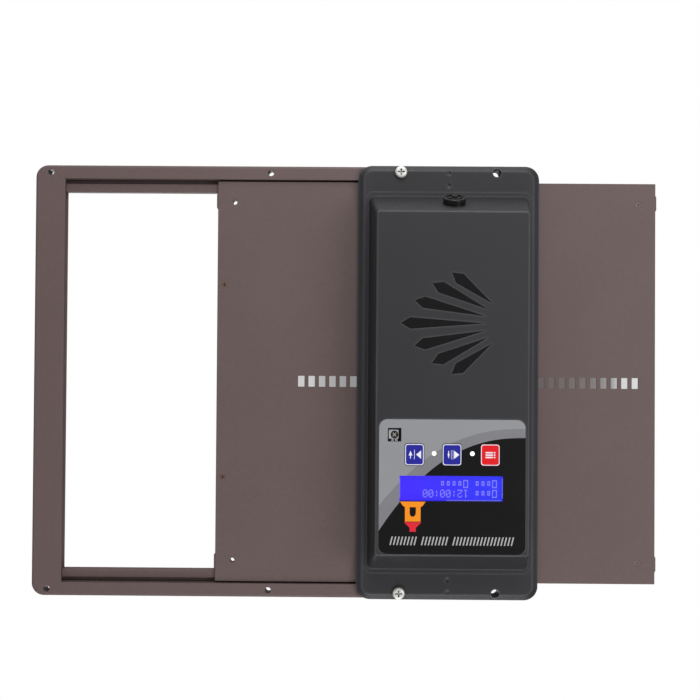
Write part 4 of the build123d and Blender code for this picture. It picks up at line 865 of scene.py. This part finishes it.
def make_sensor_face():
    """Dark face of the light cell with its pale cross."""
    line = CROSS_LINE
    reach = SENSOR_RADIUS * CROSS_REACH
    cross = [
        (-reach, -reach + line), (-line, 0), (-reach, reach - line), (-reach + line, reach),
        (0, line), (reach - line, reach), (reach, reach - line), (line, 0),
        (reach, -reach + line), (reach - line, -reach), (0, -line), (-reach + line, -reach),
    ]
    edge = circle(SENSOR_X, SENSOR_Z, SENSOR_RADIUS * FACE_RADIUS)
    outlines = [edge, shifted(cross, SENSOR_X, SENSOR_Z)]
    face = printed("sensor_face", outlines, SENSOR_FRONT, "sensor_track")
    ride_with(face, FIXED)


make_label()
make_dashes()
make_pictogram()
for key_name in KEYS:
    make_key_print(key_name)
make_screen_glow()
make_characters()
make_sensor_collar()
make_sensor_face()


# ---- stage ----
FLOOR_DROP = 0.9
FLOOR_RADIUS = 0.9
FLOOR_PALE = (0.86, 0.86, 0.86, 1.0)
FLOOR_PATCH = 0.2  # metres across
FLOOR_GLOW = 0.45

# card of painted shade seen through the door's slots
SHADE_HALF_HEIGHT = 6 * MM
SHADE_DEPTH = 2.8 * MM  # behind the door's front face
SHADE_OPEN_END = 4 * MM  # from the door's ends to the card's
SHADE_BOX_END = 40 * MM
WARM = (1.1, 0.96, 0.94)
NEUTRAL = (1.0, 1.0, 1.0)
SHADE_STOPS = (  # place along the card, value and hue
    (0.0, 0.74, NEUTRAL), (0.073, 0.66, NEUTRAL), (0.097, 0.34, NEUTRAL),
    (0.157, 0.185, WARM), (0.3, 0.12, WARM), (0.62, 0.15, WARM),
    (0.8, 0.3, NEUTRAL), (0.89, 0.47, NEUTRAL), (0.91, 0.6, NEUTRAL),
)

WORLD_FILL = 0.16  # strength as light
WORLD_SEEN = 1.0  # strength as seen by the camera


def make_floor():
    """Pale round floor well under the door."""
    work = bmesh.new()
    bmesh.ops.create_circle(work, cap_ends=True, segments=96, radius=FLOOR_RADIUS)
    mesh = bpy.data.meshes.new("floor")
    work.to_mesh(mesh)
    work.free()
    floor = bpy.data.objects.new("floor", mesh)
    bpy.context.scene.collection.objects.link(floor)
    middle = (cad_box[0] + cad_box[1]) / 2
    floor.location = (middle.x, 0, middle.z - FLOOR_DROP)
    shader = Shader("floor", FLOOR_PALE, 0.7)
    shader.set("Emission Color", WHITE)
    shader.set("Emission Strength", FLOOR_GLOW)
    shader.mottle(FLOOR_PATCH, 0.01)
    floor.data.materials.append(shader.material)


def make_shade_material(left, right):
    """Painted shade: a glow that runs through the shade's stops from left to right, seen only from
    the front.
    """
    material = bpy.data.materials.new("slot_shade")
    material.use_nodes = True
    tree = material.node_tree
    tree.nodes.clear()
    place = tree.nodes.new("ShaderNodeTexCoord")
    split = tree.nodes.new("ShaderNodeSeparateXYZ")
    along = tree.nodes.new("ShaderNodeMapRange")
    along.inputs["From Min"].default_value = left
    along.inputs["From Max"].default_value = right
    ramp = tree.nodes.new("ShaderNodeValToRGB")
    while len(ramp.color_ramp.elements) < len(SHADE_STOPS):
        ramp.color_ramp.elements.new(0.5)
    for element, (position, value, hue) in zip(ramp.color_ramp.elements, SHADE_STOPS):
        element.position = position
        element.color = tuple(value * part for part in hue) + (1.0,)
    shade = tree.nodes.new("ShaderNodeEmission")
    clear = tree.nodes.new("ShaderNodeBsdfTransparent")
    side = tree.nodes.new("ShaderNodeNewGeometry")
    path = tree.nodes.new("ShaderNodeLightPath")
    facing = tree.nodes.new("ShaderNodeMath")
    facing.operation = "SUBTRACT"
    facing.use_clamp = True
    mix = tree.nodes.new("ShaderNodeMixShader")
    output = tree.nodes.new("ShaderNodeOutputMaterial")
    tree.links.new(place.outputs["Object"], split.inputs["Vector"])
    tree.links.new(split.outputs["X"], along.inputs["Value"])
    tree.links.new(along.outputs["Result"], ramp.inputs["Fac"])
    tree.links.new(ramp.outputs["Color"], shade.inputs["Color"])
    tree.links.new(path.outputs["Is Camera Ray"], facing.inputs[0])
    tree.links.new(side.outputs["Backfacing"], facing.inputs[1])
    tree.links.new(facing.outputs["Value"], mix.inputs["Fac"])
    tree.links.new(clear.outputs["BSDF"], mix.inputs[1])
    tree.links.new(shade.outputs["Emission"], mix.inputs[2])
    tree.links.new(mix.outputs["Shader"], output.inputs["Surface"])
    return material


def make_slot_shade():
    """Card of painted shade behind the door's slots, standing in for the shade behind the door; it
    moves with the door.
    """
    panel_low, panel_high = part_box("door_panel")
    left, right = panel_low.x + SHADE_OPEN_END, panel_high.x - SHADE_BOX_END
    depth = panel_low.y + SHADE_DEPTH
    middle = (panel_low.z + panel_high.z) / 2
    low, high = middle - SHADE_HALF_HEIGHT, middle + SHADE_HALF_HEIGHT
    mesh = bpy.data.meshes.new("slot_shade")
    corners = [(left, depth, low), (right, depth, low), (right, depth, high), (left, depth, high)]
    mesh.from_pydata(corners, [], [(0, 1, 2, 3)])
    mesh.materials.append(make_shade_material(left, right))
    card = bpy.data.objects.new("slot_shade", mesh)
    bpy.context.scene.collection.objects.link(card)
    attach(card, DOOR)


def make_world():
    """White surroundings, dimmer as a source of light than they look."""
    world = bpy.data.worlds.new("studio")
    bpy.context.scene.world = world
    world.use_nodes = True
    tree = world.node_tree
    tree.nodes.clear()
    seen = tree.nodes.new("ShaderNodeBackground")
    seen.inputs["Color"].default_value = WHITE
    seen.inputs["Strength"].default_value = WORLD_SEEN
    fill = tree.nodes.new("ShaderNodeBackground")
    fill.inputs["Color"].default_value = WHITE
    fill.inputs["Strength"].default_value = WORLD_FILL
    path = tree.nodes.new("ShaderNodeLightPath")
    mix = tree.nodes.new("ShaderNodeMixShader")
    output = tree.nodes.new("ShaderNodeOutputWorld")
    tree.links.new(path.outputs["Is Camera Ray"], mix.inputs["Fac"])
    tree.links.new(fill.outputs["Background"], mix.inputs[1])
    tree.links.new(seen.outputs["Background"], mix.inputs[2])
    tree.links.new(mix.outputs["Shader"], output.inputs["Surface"])


LIGHTS = {  # place, size across and power in watts
    "key": ((-1.15, -1.2, 0.05), 0.8, 6.4),
    "key_far": ((-1.6, -2.0, 0.1), 1.4, 4.5),
    "above": ((-0.2, -0.85, 1.1), 0.7, 6.8),
    "below": ((-0.2, -0.85, -0.7), 0.45, 3.7),
    "graze_above": ((-0.15, -0.35, 1.0), 0.5, 2.0),
    "graze_below": ((-0.15, -0.3, -0.75), 0.25, 1.0),
    "fill": ((1.6, -1.2, 0.2), 1.2, 2.8),
    "behind": ((0.3, 1.4, 0.9), 1.2, 10.0),
}


def make_lights():
    """Soft boxes aimed at the middle of the door."""
    middle = (cad_box[0] + cad_box[1]) / 2
    for name, (place, size, power) in LIGHTS.items():
        data = bpy.data.lights.new(name, "AREA")
        data.shape = "SQUARE"
        data.size = size
        data.energy = power
        light = bpy.data.objects.new(name, data)
        light.location = place
        light.rotation_euler = (middle - Vector(place)).to_track_quat("-Z", "Y").to_euler()
        bpy.context.scene.collection.objects.link(light)


make_floor()
make_slot_shade()
make_world()
make_lights()
bpy.context.scene.view_settings.view_transform = "Standard"
